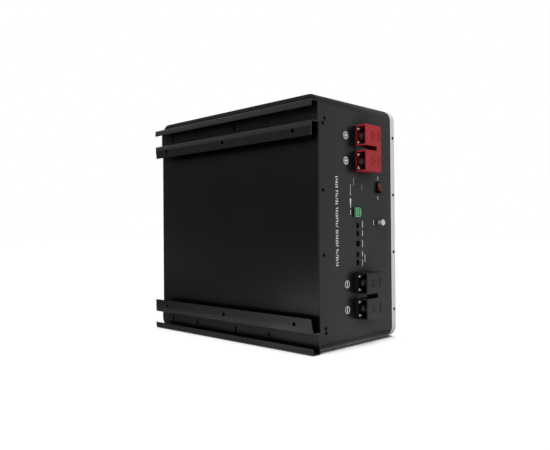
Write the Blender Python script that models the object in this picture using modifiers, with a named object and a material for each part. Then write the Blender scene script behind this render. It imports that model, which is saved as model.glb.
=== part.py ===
"""Wall-mounted lithium battery pack, as separate pieces.

Frame, in metres: X to the right seen from the front, Y towards the wall, Z up.
The origin is the centre of the case's bottom face. The terminal side is at -X.
"""

import math

import bmesh
import bpy
from mathutils import Matrix, Vector

MM = 0.001

# Case
CASE_WIDTH = 457 * MM
CASE_HEIGHT = 450 * MM
CASE_RADIUS = 22 * MM
SLEEVE_DEPTH = 218 * MM
COVER_DEPTH = 18 * MM
SHEET = 2 * MM
GAP = 0.3 * MM

BACK_Y = (SLEEVE_DEPTH + COVER_DEPTH) / 2
SPLIT_Y = BACK_Y - SLEEVE_DEPTH
FRONT_Y = -BACK_Y
SIDE_X = -CASE_WIDTH / 2  # outer face of the terminal side
MID_Z = CASE_HEIGHT / 2
CORNER_SEGMENTS = 6

# Wall brackets: one bent strip each, mirrored about BRACKET_MID_Z
BRACKET_STANDOFF = 20 * MM
BRACKET_MID_Z = MID_Z - 6.9 * MM
BRACKET_OUTER = 218.1 * MM  # mid height to the outer flange
BRACKET_INNER = 182.5 * MM  # mid height to the inner flange
SHORT_LIP = 12 * MM
HOOK_DROP = 10.6 * MM
HOOK_TIP = 16 * MM
LIP_SPRING = 1 * MM  # the flanges are that much shorter than the lips stand out
HOOK_CUT = 5 * MM  # slanting cut of one end of the hook, at its tip
HOOK_HOLE_X = 186 * MM
HOOK_HOLE_RADIUS = 3.9 * MM
HOOK_HOLE_DROP = 3.9 * MM  # from the crease
WEB_SLOT = (5 * MM, 20 * MM)
WEB_SLOT_X = (188 * MM, -15 * MM)
BRACKET_SCREW_X = 105 * MM
BRACKET_SCREW_REACH = 197 * MM  # from mid height

# Power terminals: two pairs on the terminal side
TERMINAL_PITCH = 47 * MM
POSITIVE_Z = MID_Z + 137.5 * MM  # middle of the pair
NEGATIVE_Z = MID_Z - 133.5 * MM
HOOD_NEAR_Y = 14 * MM
HOOD_DEPTH = 50 * MM
HOOD_HEIGHT = 38.5 * MM
HOOD_PROUD = 25 * MM
HOOD_WALL = 2 * MM
HOOD_ROUND = 4.5 * MM
SLOT_DEPTH = 33 * MM
BASE_THICK = 3 * MM
BASE_SLOT_Y = -19 * MM
BOLT_Y = -2 * MM
BASE_SCREW_Y = 8.5 * MM
BASE_SCREW_SPREAD = 12.6 * MM
HINGE_OUT = 4 * MM  # hinge axis, out from the side panel
HINGE_Y = -38.8 * MM
BASE_FAR_Y = -32 * MM  # clear of the cover's far wall as it swings
LUG_Z = (30 * MM, 34 * MM)  # from the middle of the pair
ARM_Z = (34.4 * MM, 38.4 * MM)

# Small devices on the terminal side: (y, z)
SWITCH_AT = (-58 * MM, MID_Z + 68.4 * MM)
BUTTON_AT = (7.7 * MM, MID_Z - 37.6 * MM)
PORT_Y = 7 * MM
PORT_PITCH = 15 * MM
PORT_PAIRS_Z = (MID_Z - 11.7 * MM, MID_Z - 65.3 * MM)
SOCKET_AT = (13 * MM, MID_Z + 20 * MM)
GROUND_AT = (-59.9 * MM, MID_Z + 1.6 * MM)
LIGHTS_AT = ((14 * MM, MID_Z + 77.4 * MM), (7.4 * MM, MID_Z + 67.6 * MM))
SWITCH_TILT = math.radians(13)
SWITCH_PIVOT_OUT = -1 * MM

# Cells: two columns of four, poles facing the front cover
CELL = Vector((173.6, 204, 53.6)) * MM
CELL_PITCH_X = 176 * MM
CELL_PITCH_Z = 55.2 * MM
CELL_COLUMNS_X = (134 * MM, -42 * MM)
CELL_BOTTOM_Z = 20 * MM
CELL_MID_Y = 4 * MM
POLE_SPREAD = 60 * MM
POLE_HEIGHT = 3 * MM
LINK_THICK = 2.5 * MM

BLACK = (0.012, 0.012, 0.013, 1)
BRACKET_BLACK = (0.03, 0.03, 0.031, 1)
WHITE = (0.8, 0.8, 0.82, 1)
RED = (0.42, 0.02, 0.025, 1)
GREEN = (0.08, 0.42, 0.13, 1)
STEEL = (0.6, 0.6, 0.62, 1)
BRASS = (0.7, 0.52, 0.22, 1)
COPPER = (0.75, 0.36, 0.2, 1)
CELL_BLUE = (0.02, 0.1, 0.3, 1)
RUBBER = (0.02, 0.02, 0.02, 1)
BOARD_GREEN = (0.01, 0.12, 0.05, 1)
CLEAR = (0.8, 0.85, 0.85, 1)


def clear_scene():
    for obj in list(bpy.data.objects):
        bpy.data.objects.remove(obj)
    parts = bpy.data.collections.new("battery_pack")
    cutters = bpy.data.collections.new("cutters")
    for collection in (parts, cutters):
        bpy.context.scene.collection.children.link(collection)
    return parts, cutters


PARTS, CUTTERS = clear_scene()


def material(name, colour, roughness, metallic=0.0):
    made = bpy.data.materials.get(name) or bpy.data.materials.new(name)
    made.use_nodes = True
    shader = made.node_tree.nodes["Principled BSDF"]
    shader.inputs["Base Color"].default_value = colour
    shader.inputs["Roughness"].default_value = roughness
    shader.inputs["Metallic"].default_value = metallic
    return made


POWDER_BLACK = material("powder_black", BLACK, 0.5)
BRACKET_PAINT = material("bracket_paint", BRACKET_BLACK, 0.6)
POWDER_WHITE = material("powder_white", WHITE, 0.45)
RED_PLASTIC = material("red_plastic", RED, 0.4)
BLACK_PLASTIC = material("black_plastic", BLACK, 0.45)
GREEN_PLASTIC = material("green_plastic", GREEN, 0.4)
ZINC = material("zinc_steel", STEEL, 0.3, 1.0)
BRASS_METAL = material("brass", BRASS, 0.3, 1.0)
COPPER_METAL = material("copper", COPPER, 0.35, 1.0)
CELL_WRAP = material("cell_wrap", CELL_BLUE, 0.35)
GASKET_RUBBER = material("gasket_rubber", RUBBER, 0.8)
CIRCUIT_BOARD = material("circuit_board", BOARD_GREEN, 0.5)
CLEAR_PLASTIC = material("clear_plastic", CLEAR, 0.2)
ALUMINIUM = material("aluminium", STEEL, 0.4, 1.0)


def place(name, mesh, finish=None, helper=False):
    """An object from a mesh, in the parts or, for a helper, with the cutters."""
    obj = bpy.data.objects.new(name, mesh)
    (CUTTERS if helper else PARTS).objects.link(obj)
    if helper:
        obj.hide_render = True
        obj.display_type = "WIRE"
    if finish:
        mesh.materials.append(finish)
    return obj


def mesh_of(bm, name):
    mesh = bpy.data.meshes.new(name)
    bm.to_mesh(mesh)
    bm.free()
    return mesh


def block(low, high, name="block", finish=None, helper=True, bevel=0.0):
    """A box between two corners, with its edges rounded by bevel."""
    low, high = Vector(low), Vector(high)
    bm = bmesh.new()
    bmesh.ops.create_cube(bm, size=1.0)
    bmesh.ops.scale(bm, vec=high - low, verts=bm.verts)
    obj = place(name, mesh_of(bm, name), finish, helper)
    obj.location = (low + high) / 2
    if bevel:
        add_bevel(obj, bevel)
    return obj


def prism(points, others, name="prism", finish=None, helper=True):
    """A solid between an outline and the same outline elsewhere, both as lists of corners."""
    bm = bmesh.new()
    first = [bm.verts.new(p) for p in points]
    second = [bm.verts.new(p) for p in others]
    bm.faces.new(first)
    bm.faces.new(second[::-1])
    for i in range(len(first)):
        j = (i + 1) % len(first)
        bm.faces.new((first[i], second[i], second[j], first[j]))
    bmesh.ops.recalc_face_normals(bm, faces=bm.faces)
    return place(name, mesh_of(bm, name), finish, helper)


def arc(centre, radius, start, end, segments):
    """Points of an arc, with its angles in degrees."""
    steps = [math.radians(start + (end - start) * i / segments) for i in range(segments + 1)]
    return [(centre[0] + radius * math.cos(a), centre[1] + radius * math.sin(a)) for a in steps]


def add_bevel(obj, width, segments=2):
    bevel = obj.modifiers.new("round_edges", "BEVEL")
    bevel.width = width
    bevel.segments = segments
    bevel.limit_method = "ANGLE"


def rod(start, end, radius, name="rod", finish=None, helper=True, sides=20, tip=None):
    """A cylinder, or a cone with its far end at radius tip, between two points."""
    start, end = Vector(start), Vector(end)
    bm = bmesh.new()
    bmesh.ops.create_cone(
        bm,
        cap_ends=True,
        segments=sides,
        radius1=radius,
        radius2=radius if tip is None else tip,
        depth=(end - start).length,
    )
    obj = place(name, mesh_of(bm, name), finish, helper)
    obj.location = (start + end) / 2
    obj.rotation_mode = "QUATERNION"
    obj.rotation_quaternion = (end - start).to_track_quat("Z", "Y")
    return obj


def combine(obj, others, operation):
    for other in others:
        boolean = obj.modifiers.new(operation.lower(), "BOOLEAN")
        boolean.operation = operation
        boolean.solver = "EXACT"
        boolean.object = other
    return obj


def join(obj, *others):
    return combine(obj, others, "UNION")


def cut(obj, *others):
    return combine(obj, others, "DIFFERENCE")


def shell(name, y_range, inset, finish, wall=SHEET, closed_end=None, edge_round=0.0):
    """A rounded box along Y, inset from the case's outline, with its wall grown inwards.

    closed_end is "front", "back" or None for a tube.
    """
    bm = bmesh.new()
    bmesh.ops.create_cube(bm, size=1.0)
    size = (CASE_WIDTH - 2 * inset, y_range[1] - y_range[0], CASE_HEIGHT - 2 * inset)
    bmesh.ops.scale(bm, vec=size, verts=bm.verts)
    along_y = [e for e in bm.edges if abs(e.verts[0].co.y - e.verts[1].co.y) > 1e-6]
    radius = CASE_RADIUS - inset
    bmesh.ops.bevel(
        bm, geom=along_y, offset=radius, segments=CORNER_SEGMENTS, profile=0.5, affect="EDGES"
    )
    bm.normal_update()
    if edge_round:
        front = [f for f in bm.faces if f.normal.y < -0.9][0]
        bmesh.ops.bevel(
            bm, geom=list(front.edges), offset=edge_round, segments=3, profile=0.5, affect="EDGES"
        )
        bm.normal_update()
    half = size[1] / 2
    ends = {"front": -half, "back": half}
    for end, y in ends.items():
        if end != closed_end:
            cap = [f for f in bm.faces if all(abs(v.co.y - y) < 1e-6 for v in f.verts)]
            bmesh.ops.delete(bm, geom=cap, context="FACES_ONLY")
    obj = place(name, mesh_of(bm, name), finish)
    obj.location = (0, sum(y_range) / 2, MID_Z)
    solidify = obj.modifiers.new("sheet", "SOLIDIFY")
    solidify.thickness = wall
    solidify.offset = -1
    solidify.use_even_offset = True
    return obj


def out(distance):
    """X of a point that far out from the terminal side's outer face."""
    return SIDE_X - distance


def side_box(at, size, out_range, **settings):
    """A box on the terminal side: at and size in (y, z), out_range out from the panel."""
    (y, z), (dy, dz) = at, size
    low = (out(out_range[1]), y - dy / 2, z - dz / 2)
    high = (out(out_range[0]), y + dy / 2, z + dz / 2)
    return block(low, high, **settings)


def side_rod(at, radius, out_range, **settings):
    """A cylinder standing on the terminal side at (y, z)."""
    y, z = at
    return rod((out(out_range[0]), y, z), (out(out_range[1]), y, z), radius, **settings)


def side_screw(name, at, seat, head_radius, head_height, shank_radius, depth, finish=ZINC):
    """A pan-head screw driven into the terminal side, its head seated that far out."""
    head = side_rod(
        at, head_radius, (seat, seat + head_height), name=name, finish=finish, helper=False,
        sides=16, tip=head_radius * 0.72,
    )
    return join(head, side_rod(at, shank_radius, (seat + head_height / 2, -depth), sides=10))


# Case ---------------------------------------------------------------------


def terminal_centres(middle_z):
    return (middle_z + TERMINAL_PITCH / 2, middle_z - TERMINAL_PITCH / 2)


def port_centres():
    return [(PORT_Y, z + s * PORT_PITCH / 2) for z in PORT_PAIRS_Z for s in (1, -1)]


def base_screw_places(middle_z):
    return [
        (BASE_SCREW_Y, z + s * BASE_SCREW_SPREAD)
        for z in terminal_centres(middle_z)
        for s in (1, -1)
    ]


PORT_OPENING = (6.8 * MM, 11 * MM)
PORT_OPENING_OFF = 1.8 * MM  # its middle, from the jack's
PORT_NOTCH = (2.6 * MM, 3.6 * MM)
THROUGH = (4 * MM, -6 * MM)


def port_hole(at, out_range):
    """The two boxes of one modular jack's opening: the socket and its latch notch."""
    y, z = at
    y += PORT_OPENING_OFF
    notch_y = y - PORT_OPENING[0] / 2 - PORT_NOTCH[0] / 2 + 0.2 * MM
    return [
        side_box((y, z), PORT_OPENING, out_range),
        side_box((notch_y, z), (PORT_NOTCH[0] + 0.4 * MM, PORT_NOTCH[1]), out_range),
    ]


def panel_cutters():
    out_range = (THROUGH[1], THROUGH[0])
    found = []
    for middle in (POSITIVE_Z, NEGATIVE_Z):
        found += [side_rod((BOLT_Y, z), 10.4 * MM, out_range) for z in terminal_centres(middle)]
        found += [side_rod(at, 2.2 * MM, out_range, sides=10) for at in base_screw_places(middle)]
    for at in port_centres():
        found += port_hole(at, out_range)
    found.append(side_box(SWITCH_AT, (13.4 * MM, 19.4 * MM), out_range))
    found.append(side_rod(BUTTON_AT, 4.4 * MM, out_range))
    found.append(side_box(SOCKET_AT, (9.4 * MM, 18.4 * MM), out_range))
    found.append(side_rod(GROUND_AT, 3.3 * MM, out_range, sides=12))
    found += [side_rod(at, 1.8 * MM, out_range, sides=12) for at in LIGHTS_AT]
    return found


def make_case():
    sleeve = shell("case_sleeve", (SPLIT_Y, BACK_Y), 0, POWDER_BLACK)
    cut(sleeve, *panel_cutters())
    collar_y = (SPLIT_Y - 12 * MM, SPLIT_Y + 20 * MM)
    shell("cover_collar", collar_y, SHEET + GAP, POWDER_BLACK, wall=1.5 * MM)
    gasket_y = (SPLIT_Y - 2.5 * MM, SPLIT_Y - GAP)
    shell("front_gasket", gasket_y, 0.4 * MM, GASKET_RUBBER, wall=1.5 * MM)
    cover_y = (FRONT_Y, SPLIT_Y - 2.8 * MM)
    shell("front_cover", cover_y, 0, POWDER_WHITE, closed_end="front", edge_round=3 * MM)
    back = shell("back_panel", (BACK_Y - 20 * MM, BACK_Y), SHEET + GAP, POWDER_BLACK, closed_end="back")
    for x, z in bracket_screw_places():
        cut(back, rod((x, BACK_Y - 6 * MM, z), (x, BACK_Y + 6 * MM, z), 2.8 * MM, sides=12))


# Wall brackets ------------------------------------------------------------


def bracket_screw_places():
    return [
        (s * BRACKET_SCREW_X, BRACKET_MID_Z + side * BRACKET_SCREW_REACH)
        for side in (1, -1)
        for s in (1, -1)
    ]


def web_corner(outer, side):
    """Cutter that rounds the +X end of a web and its outer flange like the case's corner."""
    radius, middle = CASE_RADIUS, CASE_WIDTH / 2 - CASE_RADIUS
    low = outer - side * radius
    outline = [
        (middle + x, low + side * z)
        for x, z in arc((0, 0), radius, 0, 80, 7) + [(0.18 * radius, 26 * MM), (radius + MM, 26 * MM)]
    ]
    outline.append((middle + radius + MM, low))
    ys = (BACK_Y - MM, BACK_Y + BRACKET_STANDOFF + GAP - LIP_SPRING - SHEET - 0.5 * MM)
    return prism(*[[(x, y, z) for x, z in outline] for y in ys])


def hook_corner(crease, side):
    """Cutter for the slanting end of a hook, at +X on the upper bracket and -X on the lower."""
    half = CASE_WIDTH / 2
    tip = crease - side * (HOOK_DROP + HOOK_TIP)
    outline = [(half, crease), (half + 2 * MM, crease), (half + 2 * MM, tip - side * 2 * MM)]
    outline += [(half - HOOK_CUT * 1.08, tip - side * 2 * MM)]
    ys = (BACK_Y + 14 * MM, BACK_Y + 24 * MM)
    return prism(*[[(side * x, y, z) for x, z in outline] for y in ys])


def bracket(name, side):
    """A strip bent to two flanges: a short lip, a web on the back panel and a longer hook."""
    web_y = BACK_Y + GAP
    lip_y = BACK_Y + BRACKET_STANDOFF + GAP
    hook_y = lip_y - SHEET
    outer = BRACKET_MID_Z + side * BRACKET_OUTER
    inner = BRACKET_MID_Z + side * BRACKET_INNER
    section = [
        (lip_y, outer - side * SHORT_LIP),
        (lip_y - LIP_SPRING, outer),
        (web_y, outer),
        (web_y, inner - side * SHEET),
        (hook_y - LIP_SPRING, inner - side * SHEET),
        (hook_y, inner - side * HOOK_DROP),
        (hook_y, inner - side * (HOOK_DROP + HOOK_TIP)),
    ]
    # The section runs along the wall side of the short lip and the case side of the hook.
    bm = bmesh.new()
    points = [bm.verts.new((-CASE_WIDTH / 2, y, z)) for y, z in section]
    edges = [bm.edges.new(pair) for pair in zip(points, points[1:])]
    swept = bmesh.ops.extrude_edge_only(bm, edges=edges)["geom"]
    moved = [v for v in swept if isinstance(v, bmesh.types.BMVert)]
    bmesh.ops.translate(bm, vec=(CASE_WIDTH, 0, 0), verts=moved)
    obj = place(name, mesh_of(bm, name), BRACKET_PAINT)
    solidify = obj.modifiers.new("sheet", "SOLIDIFY")
    solidify.thickness = SHEET
    solidify.offset = side
    solidify.use_even_offset = True
    if side < 0:
        cut(obj, web_corner(outer, side))
    cut(obj, hook_corner(inner, side))
    hole_z = inner - side * (HOOK_DROP + HOOK_HOLE_DROP)
    for x in (-HOOK_HOLE_X, 0, HOOK_HOLE_X):
        cut(obj, rod((x, hook_y - 7 * MM, hole_z), (x, hook_y + 7 * MM, hole_z), HOOK_HOLE_RADIUS, sides=14))
    web_z = (outer + inner) / 2
    for x in WEB_SLOT_X:
        half_x, half_z = WEB_SLOT[0] / 2, WEB_SLOT[1] / 2
        low = (x - half_x, web_y - 3 * MM, web_z - half_z)
        high = (x + half_x, web_y + 5 * MM, web_z + half_z)
        cut(obj, block(low, high))
    screw_z = BRACKET_MID_Z + side * BRACKET_SCREW_REACH
    for x in (-BRACKET_SCREW_X, BRACKET_SCREW_X):
        cut(obj, rod((x, web_y - 3 * MM, screw_z), (x, web_y + 6 * MM, screw_z), 2.8 * MM, sides=12))
    return obj


def make_brackets():
    bracket("upper_wall_bracket", 1)
    bracket("lower_wall_bracket", -1)
    names = [f"{row}_bracket_screw_{n}" for row in ("upper", "lower") for n in (1, 2)]
    seat_y = BACK_Y + GAP + SHEET + GAP
    for name, (x, z) in zip(names, bracket_screw_places()):
        head = rod(
            (x, seat_y, z), (x, seat_y + 2.6 * MM, z), 4.6 * MM, name=name, finish=ZINC,
            helper=False, sides=16, tip=3.4 * MM,
        )
        join(head, rod((x, seat_y + MM, z), (x, BACK_Y - 6 * MM, z), 2.4 * MM, sides=10))


# Power terminals ----------------------------------------------------------


def terminal_base(name, middle_z, finish):
    half = TERMINAL_PITCH / 2 + HOOD_HEIGHT / 2 - HOOD_WALL - 0.4 * MM
    near_y = HOOD_NEAR_Y - 0.5 * MM
    low = (out(GAP + BASE_THICK), BASE_FAR_Y, middle_z - half)
    high = (out(GAP), near_y, middle_z + half)
    base = block(low, high, name=name, finish=finish, helper=False)
    for z in terminal_centres(middle_z):
        join(base, side_rod((BOLT_Y, z), 10 * MM, (6.3 * MM, -6 * MM), sides=24))
    for s in (1, -1):
        lug = [middle_z + s * z for z in LUG_Z]
        low = (out(7 * MM), HINGE_Y - 2.7 * MM, min(lug))
        join(base, block(low, (out(GAP), BASE_FAR_Y + MM, max(lug))))
        ends = [middle_z + s * z for z in (LUG_Z[0] - MM, LUG_Z[1] + MM)]
        pivot = [(out(HINGE_OUT), HINGE_Y, z) for z in ends]
        cut(base, rod(*pivot, 1.7 * MM, sides=12))
    for z in terminal_centres(middle_z):
        cut(base, side_rod((BOLT_Y, z), 4.3 * MM, (9 * MM, -9 * MM), sides=16))
    for at in base_screw_places(middle_z):
        cut(base, side_rod(at, 2.2 * MM, (8 * MM, -3 * MM), sides=10))
    slot_half = (TERMINAL_PITCH - HOOD_HEIGHT) / 2
    return cut(base, block(
        (out(BASE_THICK + 2 * MM), BASE_SLOT_Y, middle_z - slot_half),
        (out(-MM), near_y + MM, middle_z + slot_half),
    ))


def terminal_cover(name, middle_z, finish):
    """Two hoods open towards the wall and joined at the hinge end, turning on stub pins."""
    half = TERMINAL_PITCH / 2 + HOOD_HEIGHT / 2
    slot_half = TERMINAL_PITCH / 2 - HOOD_HEIGHT / 2
    near_y, far_y = HOOD_NEAR_Y, HOOD_NEAR_Y - HOOD_DEPTH
    top = HOOD_PROUD
    outline = arc((top - HOOD_ROUND, far_y + HOOD_ROUND), HOOD_ROUND, 0, -90, 5)
    outline += [(0.8 * MM, far_y), (0.8 * MM, near_y), (top, near_y)]
    cover = prism(
        *[[(out(o), y, middle_z + s * half) for o, y in outline] for s in (-1, 1)],
        name=name, finish=finish, helper=False,
    )
    cut(cover, block(
        (out(top + MM), near_y - SLOT_DEPTH, middle_z - slot_half),
        (out(-MM), near_y + MM, middle_z + slot_half),
    ))
    inside_far = far_y + HOOD_WALL
    for s in (1, -1):
        ends = [middle_z + s * (slot_half + HOOD_WALL), middle_z + s * (half - HOOD_WALL)]
        cut(cover, block(
            (out(top - HOOD_WALL), inside_far, min(ends)), (out(-MM), near_y + MM, max(ends)),
        ))
    bridge_near = near_y - SLOT_DEPTH - HOOD_WALL
    bridge_half = slot_half + HOOD_WALL + 0.5 * MM
    cut(cover, block(
        (out(top - HOOD_WALL), inside_far, middle_z - bridge_half),
        (out(-MM), bridge_near, middle_z + bridge_half),
    ))
    over_base = half - HOOD_WALL - 0.1 * MM
    cut(cover, block(
        (out(BASE_THICK + 0.8 * MM), inside_far + 0.1 * MM, middle_z - over_base),
        (out(-MM), near_y + MM, middle_z + over_base),
    ))
    for s in (1, -1):
        notch = [middle_z + s * z for z in (LUG_Z[0] - 0.4 * MM, LUG_Z[1] + 0.4 * MM)]
        cut(cover, block(
            (out(8 * MM), far_y - MM, min(notch)), (out(-MM), inside_far + MM, max(notch)),
        ))
    for s in (1, -1):
        arm = sorted(middle_z + s * z for z in ARM_Z)
        join(cover, block(
            (out(6.6 * MM), HINGE_Y, arm[0]), (out(1.5 * MM), far_y + MM, arm[1]),
        ))
        pivot = [(out(HINGE_OUT), HINGE_Y, z) for z in arm]
        join(cover, rod(*pivot, 2.6 * MM, sides=16))
        stub = [middle_z + s * z for z in (ARM_Z[0] + MM, LUG_Z[0] + 0.4 * MM)]
        join(cover, rod(*[(out(HINGE_OUT), HINGE_Y, z) for z in stub], 1.4 * MM, sides=12))
    return cover


def terminal_bolt(name, z):
    """A flanged hex bolt that clamps a cable lug on the base's boss."""
    at = (BOLT_Y, z)
    head = side_rod(
        at, 7.5 * MM, (8 * MM, 13.5 * MM), name=name, finish=ZINC, helper=False, sides=6
    )
    join(head, side_rod(at, 9 * MM, (6.6 * MM, 9 * MM), sides=20))
    return join(head, side_rod(at, 3.9 * MM, (10 * MM, -20 * MM), sides=14))


def make_terminals():
    pairs = (("positive", POSITIVE_Z, RED_PLASTIC), ("negative", NEGATIVE_Z, BLACK_PLASTIC))
    for pole, middle, finish in pairs:
        terminal_base(f"{pole}_terminal_base", middle, finish)
        terminal_cover(f"{pole}_terminal_cover", middle, finish)
        for n, z in enumerate(terminal_centres(middle), 1):
            terminal_bolt(f"{pole}_terminal_bolt_{n}", z)
        for n, at in enumerate(base_screw_places(middle), 1):
            side_screw(
                f"{pole}_base_screw_{n}", at, GAP + BASE_THICK + GAP, 3.4 * MM, 2.4 * MM, 1.8 * MM, 8 * MM
            )


# Switch, button, ports, ground and lights ---------------------------------


def make_switch():
    y, z = SWITCH_AT
    body = side_box(
        SWITCH_AT, (15 * MM, 21 * MM), (GAP, 2.3 * MM), name="power_switch_body",
        finish=BLACK_PLASTIC, helper=False,
    )
    join(body, side_box(SWITCH_AT, (12.8 * MM, 18.8 * MM), (-14 * MM, MM)))
    cut(body, side_box(SWITCH_AT, (10.4 * MM, 17.6 * MM), (-9 * MM, 5 * MM)))
    # The rocker's outline in (out, z), level; it is then tilted about its pivot, top in.
    outline = [(-5, 0), (-4, -5), (0.5, -8), (5.8, -7.2), (4.4, -4.3), (3.7, 0)]
    outline += [(o, -v) for o, v in reversed(outline[1:-1])]
    curve = bpy.data.curves.new("rocker_outline", "CURVE")
    curve.dimensions = "2D"
    curve.fill_mode = "BOTH"
    curve.extrude = 4.8 * MM
    spline = curve.splines.new("POLY")
    spline.points.add(len(outline) - 1)
    for point, (o, v) in zip(spline.points, outline):
        point.co = ((o * MM - SWITCH_PIVOT_OUT), v * MM, 0, 1)
    spline.use_cyclic_u = True
    rocker = bpy.data.objects.new("power_switch_rocker", curve)
    PARTS.objects.link(rocker)
    curve.materials.append(RED_PLASTIC)
    rocker.location = (out(SWITCH_PIVOT_OUT), y, z)
    upright = Matrix(((-1, 0, 0), (0, 0, 1), (0, 1, 0)))  # outline x goes out, y goes up
    rocker.rotation_euler = (Matrix.Rotation(SWITCH_TILT, 3, "Y") @ upright).to_euler()


def make_button():
    body = side_rod(
        BUTTON_AT, 5.2 * MM, (GAP, 1.6 * MM), name="wake_button_body", finish=BLACK_PLASTIC,
        helper=False, sides=24,
    )
    join(body, side_rod(BUTTON_AT, 4.1 * MM, (-11 * MM, MM), sides=20))
    cut(body, side_rod(BUTTON_AT, 3.4 * MM, (-6 * MM, 4 * MM), sides=20))
    side_rod(
        BUTTON_AT, 2.9 * MM, (-3 * MM, 1.9 * MM), name="wake_button_cap", finish=BLACK_PLASTIC,
        helper=False,
    )


def make_ports():
    panel_back = -SHEET - GAP
    for n, middle in enumerate(PORT_PAIRS_Z, 1):
        jack = side_box(
            (PORT_Y - MM, middle), (15 * MM, 31 * MM), (-18 * MM, panel_back),
            name=f"comm_port_{n}", finish=BLACK_PLASTIC, helper=False,
        )
        for s in (1, -1):
            cut(jack, *port_hole((PORT_Y, middle + s * PORT_PITCH / 2), (-14 * MM, 0)))


def make_dry_contacts():
    y, z = SOCKET_AT
    socket = side_box(
        SOCKET_AT, (8.8 * MM, 17.8 * MM), (-14 * MM, MM), name="dry_contact_socket",
        finish=GREEN_PLASTIC, helper=False,
    )
    cut(socket, side_box(SOCKET_AT, (6.8 * MM, 16 * MM), (-11 * MM, 3 * MM)))
    plug = side_box(
        SOCKET_AT, (12.4 * MM, 17.2 * MM), (1.3 * MM, 5.6 * MM), name="dry_contact_plug",
        finish=GREEN_PLASTIC, helper=False,
    )
    join(plug, side_box(SOCKET_AT, (6.2 * MM, 15.4 * MM), (-9 * MM, 2 * MM)))
    for i in range(4):
        row_z = z + (i - 1.5) * 3.81 * MM
        cut(plug, side_box((y - 3 * MM, row_z), (2.8 * MM, 2.8 * MM), (2.4 * MM, 7 * MM)))
        cut(plug, side_rod((y + 2.4 * MM, row_z), 1.3 * MM, (4.2 * MM, 7 * MM), sides=10))


def make_ground():
    post = side_rod(
        GROUND_AT, 3.7 * MM, (GAP, 8.3 * MM), name="ground_post", finish=BRASS_METAL,
        helper=False,
    )
    join(post, side_rod(GROUND_AT, 2.9 * MM, (-9 * MM, MM), sides=12))
    cut(post, side_rod(GROUND_AT, 2.1 * MM, (-3 * MM, 10 * MM), sides=12))
    screw = side_rod(
        GROUND_AT, 5.4 * MM, (8.6 * MM, 11.2 * MM), name="ground_screw", finish=ZINC,
        helper=False, sides=6,
    )
    join(screw, side_rod(GROUND_AT, 1.8 * MM, (-2 * MM, 9 * MM), sides=10))


def make_lights():
    """One clear moulding with a pin behind each hole of the panel."""
    (y1, z1), (y2, z2) = LIGHTS_AT
    middle = ((y1 + y2) / 2, (z1 + z2) / 2)
    size = (abs(y1 - y2) + 5 * MM, abs(z1 - z2) + 5 * MM)
    pipe = side_box(
        middle, size, (-6 * MM, -3 * MM), name="status_light_pipe", finish=CLEAR_PLASTIC, helper=False
    )
    for at in LIGHTS_AT:
        join(pipe, side_rod(at, 1.5 * MM, (-4 * MM, 0.4 * MM), sides=12))


def make_interface_board():
    x = out(-18.3 * MM)
    block(
        (x, -20 * MM, MID_Z - 88 * MM), (x + 1.6 * MM, 30 * MM, MID_Z + 90 * MM),
        name="interface_board", finish=CIRCUIT_BOARD, helper=False,
    )


# Cells and power electronics ----------------------------------------------


def cell_centre(number):
    """Cells 1 to 4 climb the first column and 5 to 8 come down the second."""
    column, row = (0, number - 1) if number <= 4 else (1, 8 - number)
    z = CELL_BOTTOM_Z + CELL.z / 2 + row * CELL_PITCH_Z
    return Vector((CELL_COLUMNS_X[column], CELL_MID_Y, z))


def pole(number, side):
    """Front of a cell's pole, on its +X side or its -X side."""
    centre = cell_centre(number)
    return centre + Vector((side * POLE_SPREAD, -CELL.y / 2 - POLE_HEIGHT, 0))


def make_cells():
    for number in range(1, 9):
        centre = cell_centre(number)
        cell = block(
            centre - CELL / 2, centre + CELL / 2, name=f"cell_{number}", finish=CELL_WRAP,
            helper=False, bevel=2.5 * MM,
        )
        for side in (1, -1):
            face = pole(number, side)
            join(cell, rod(face, face + Vector((0, POLE_HEIGHT + MM, 0)), 9 * MM, sides=16))


def link(number, first, second):
    """A flat bar over two poles, given by the fronts of those poles."""
    reach = Vector((9 * MM, 0, 9 * MM))
    low = Vector(map(min, first, second)) - reach
    high = Vector(map(max, first, second)) + reach
    low.y, high.y = first.y - GAP - LINK_THICK, first.y - GAP
    block(low, high, name=f"cell_link_{number}", finish=COPPER_METAL, helper=False)


def make_links():
    sides = {1: 1, 2: -1, 3: 1, 5: -1, 6: 1, 7: -1}
    for number, side in sides.items():
        link(number, pole(number, side), pole(number + 1, side))
    link(4, pole(4, -1), pole(5, 1))


def make_module_tray():
    """A steel angle under and behind the cells, with a rail above them."""
    left = CELL_COLUMNS_X[1] - CELL.x / 2 - MM
    right = CELL_COLUMNS_X[0] + CELL.x / 2 + MM
    front = CELL_MID_Y - CELL.y / 2
    back = CELL_MID_Y + CELL.y / 2 + GAP
    bottom = CELL_BOTTOM_Z - GAP
    top = cell_centre(4).z + CELL.z / 2 + MM
    tray = block(
        (left, front, bottom - 3 * MM), (right, back + 3 * MM, bottom), name="module_tray",
        finish=ZINC, helper=False,
    )
    join(tray, block((left, back, bottom - MM), (right, back + 3 * MM, top + 3 * MM)))
    join(tray, block((left, front, top), (right, back + MM, top + 3 * MM)))


BMS_BOARD = ((-110 * MM, 85 * MM, 262 * MM), (190 * MM, 87 * MM, 432 * MM))


def make_bms():
    low, high = BMS_BOARD
    block(low, high, name="bms_board", finish=CIRCUIT_BOARD, helper=False)
    sink_back = low[1] - GAP
    left, right, bottom, top = -80 * MM, 160 * MM, 290 * MM, 400 * MM
    sink = block(
        (left, sink_back - 5 * MM, bottom), (right, sink_back, top), name="bms_heatsink",
        finish=ALUMINIUM, helper=False,
    )
    fins = 12
    pitch = (right - left - 3 * MM) / (fins - 1)
    for i in range(fins):
        x = left + i * pitch
        join(sink, block((x, sink_back - 24 * MM, bottom), (x + 3 * MM, sink_back - 4 * MM, top)))


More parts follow.
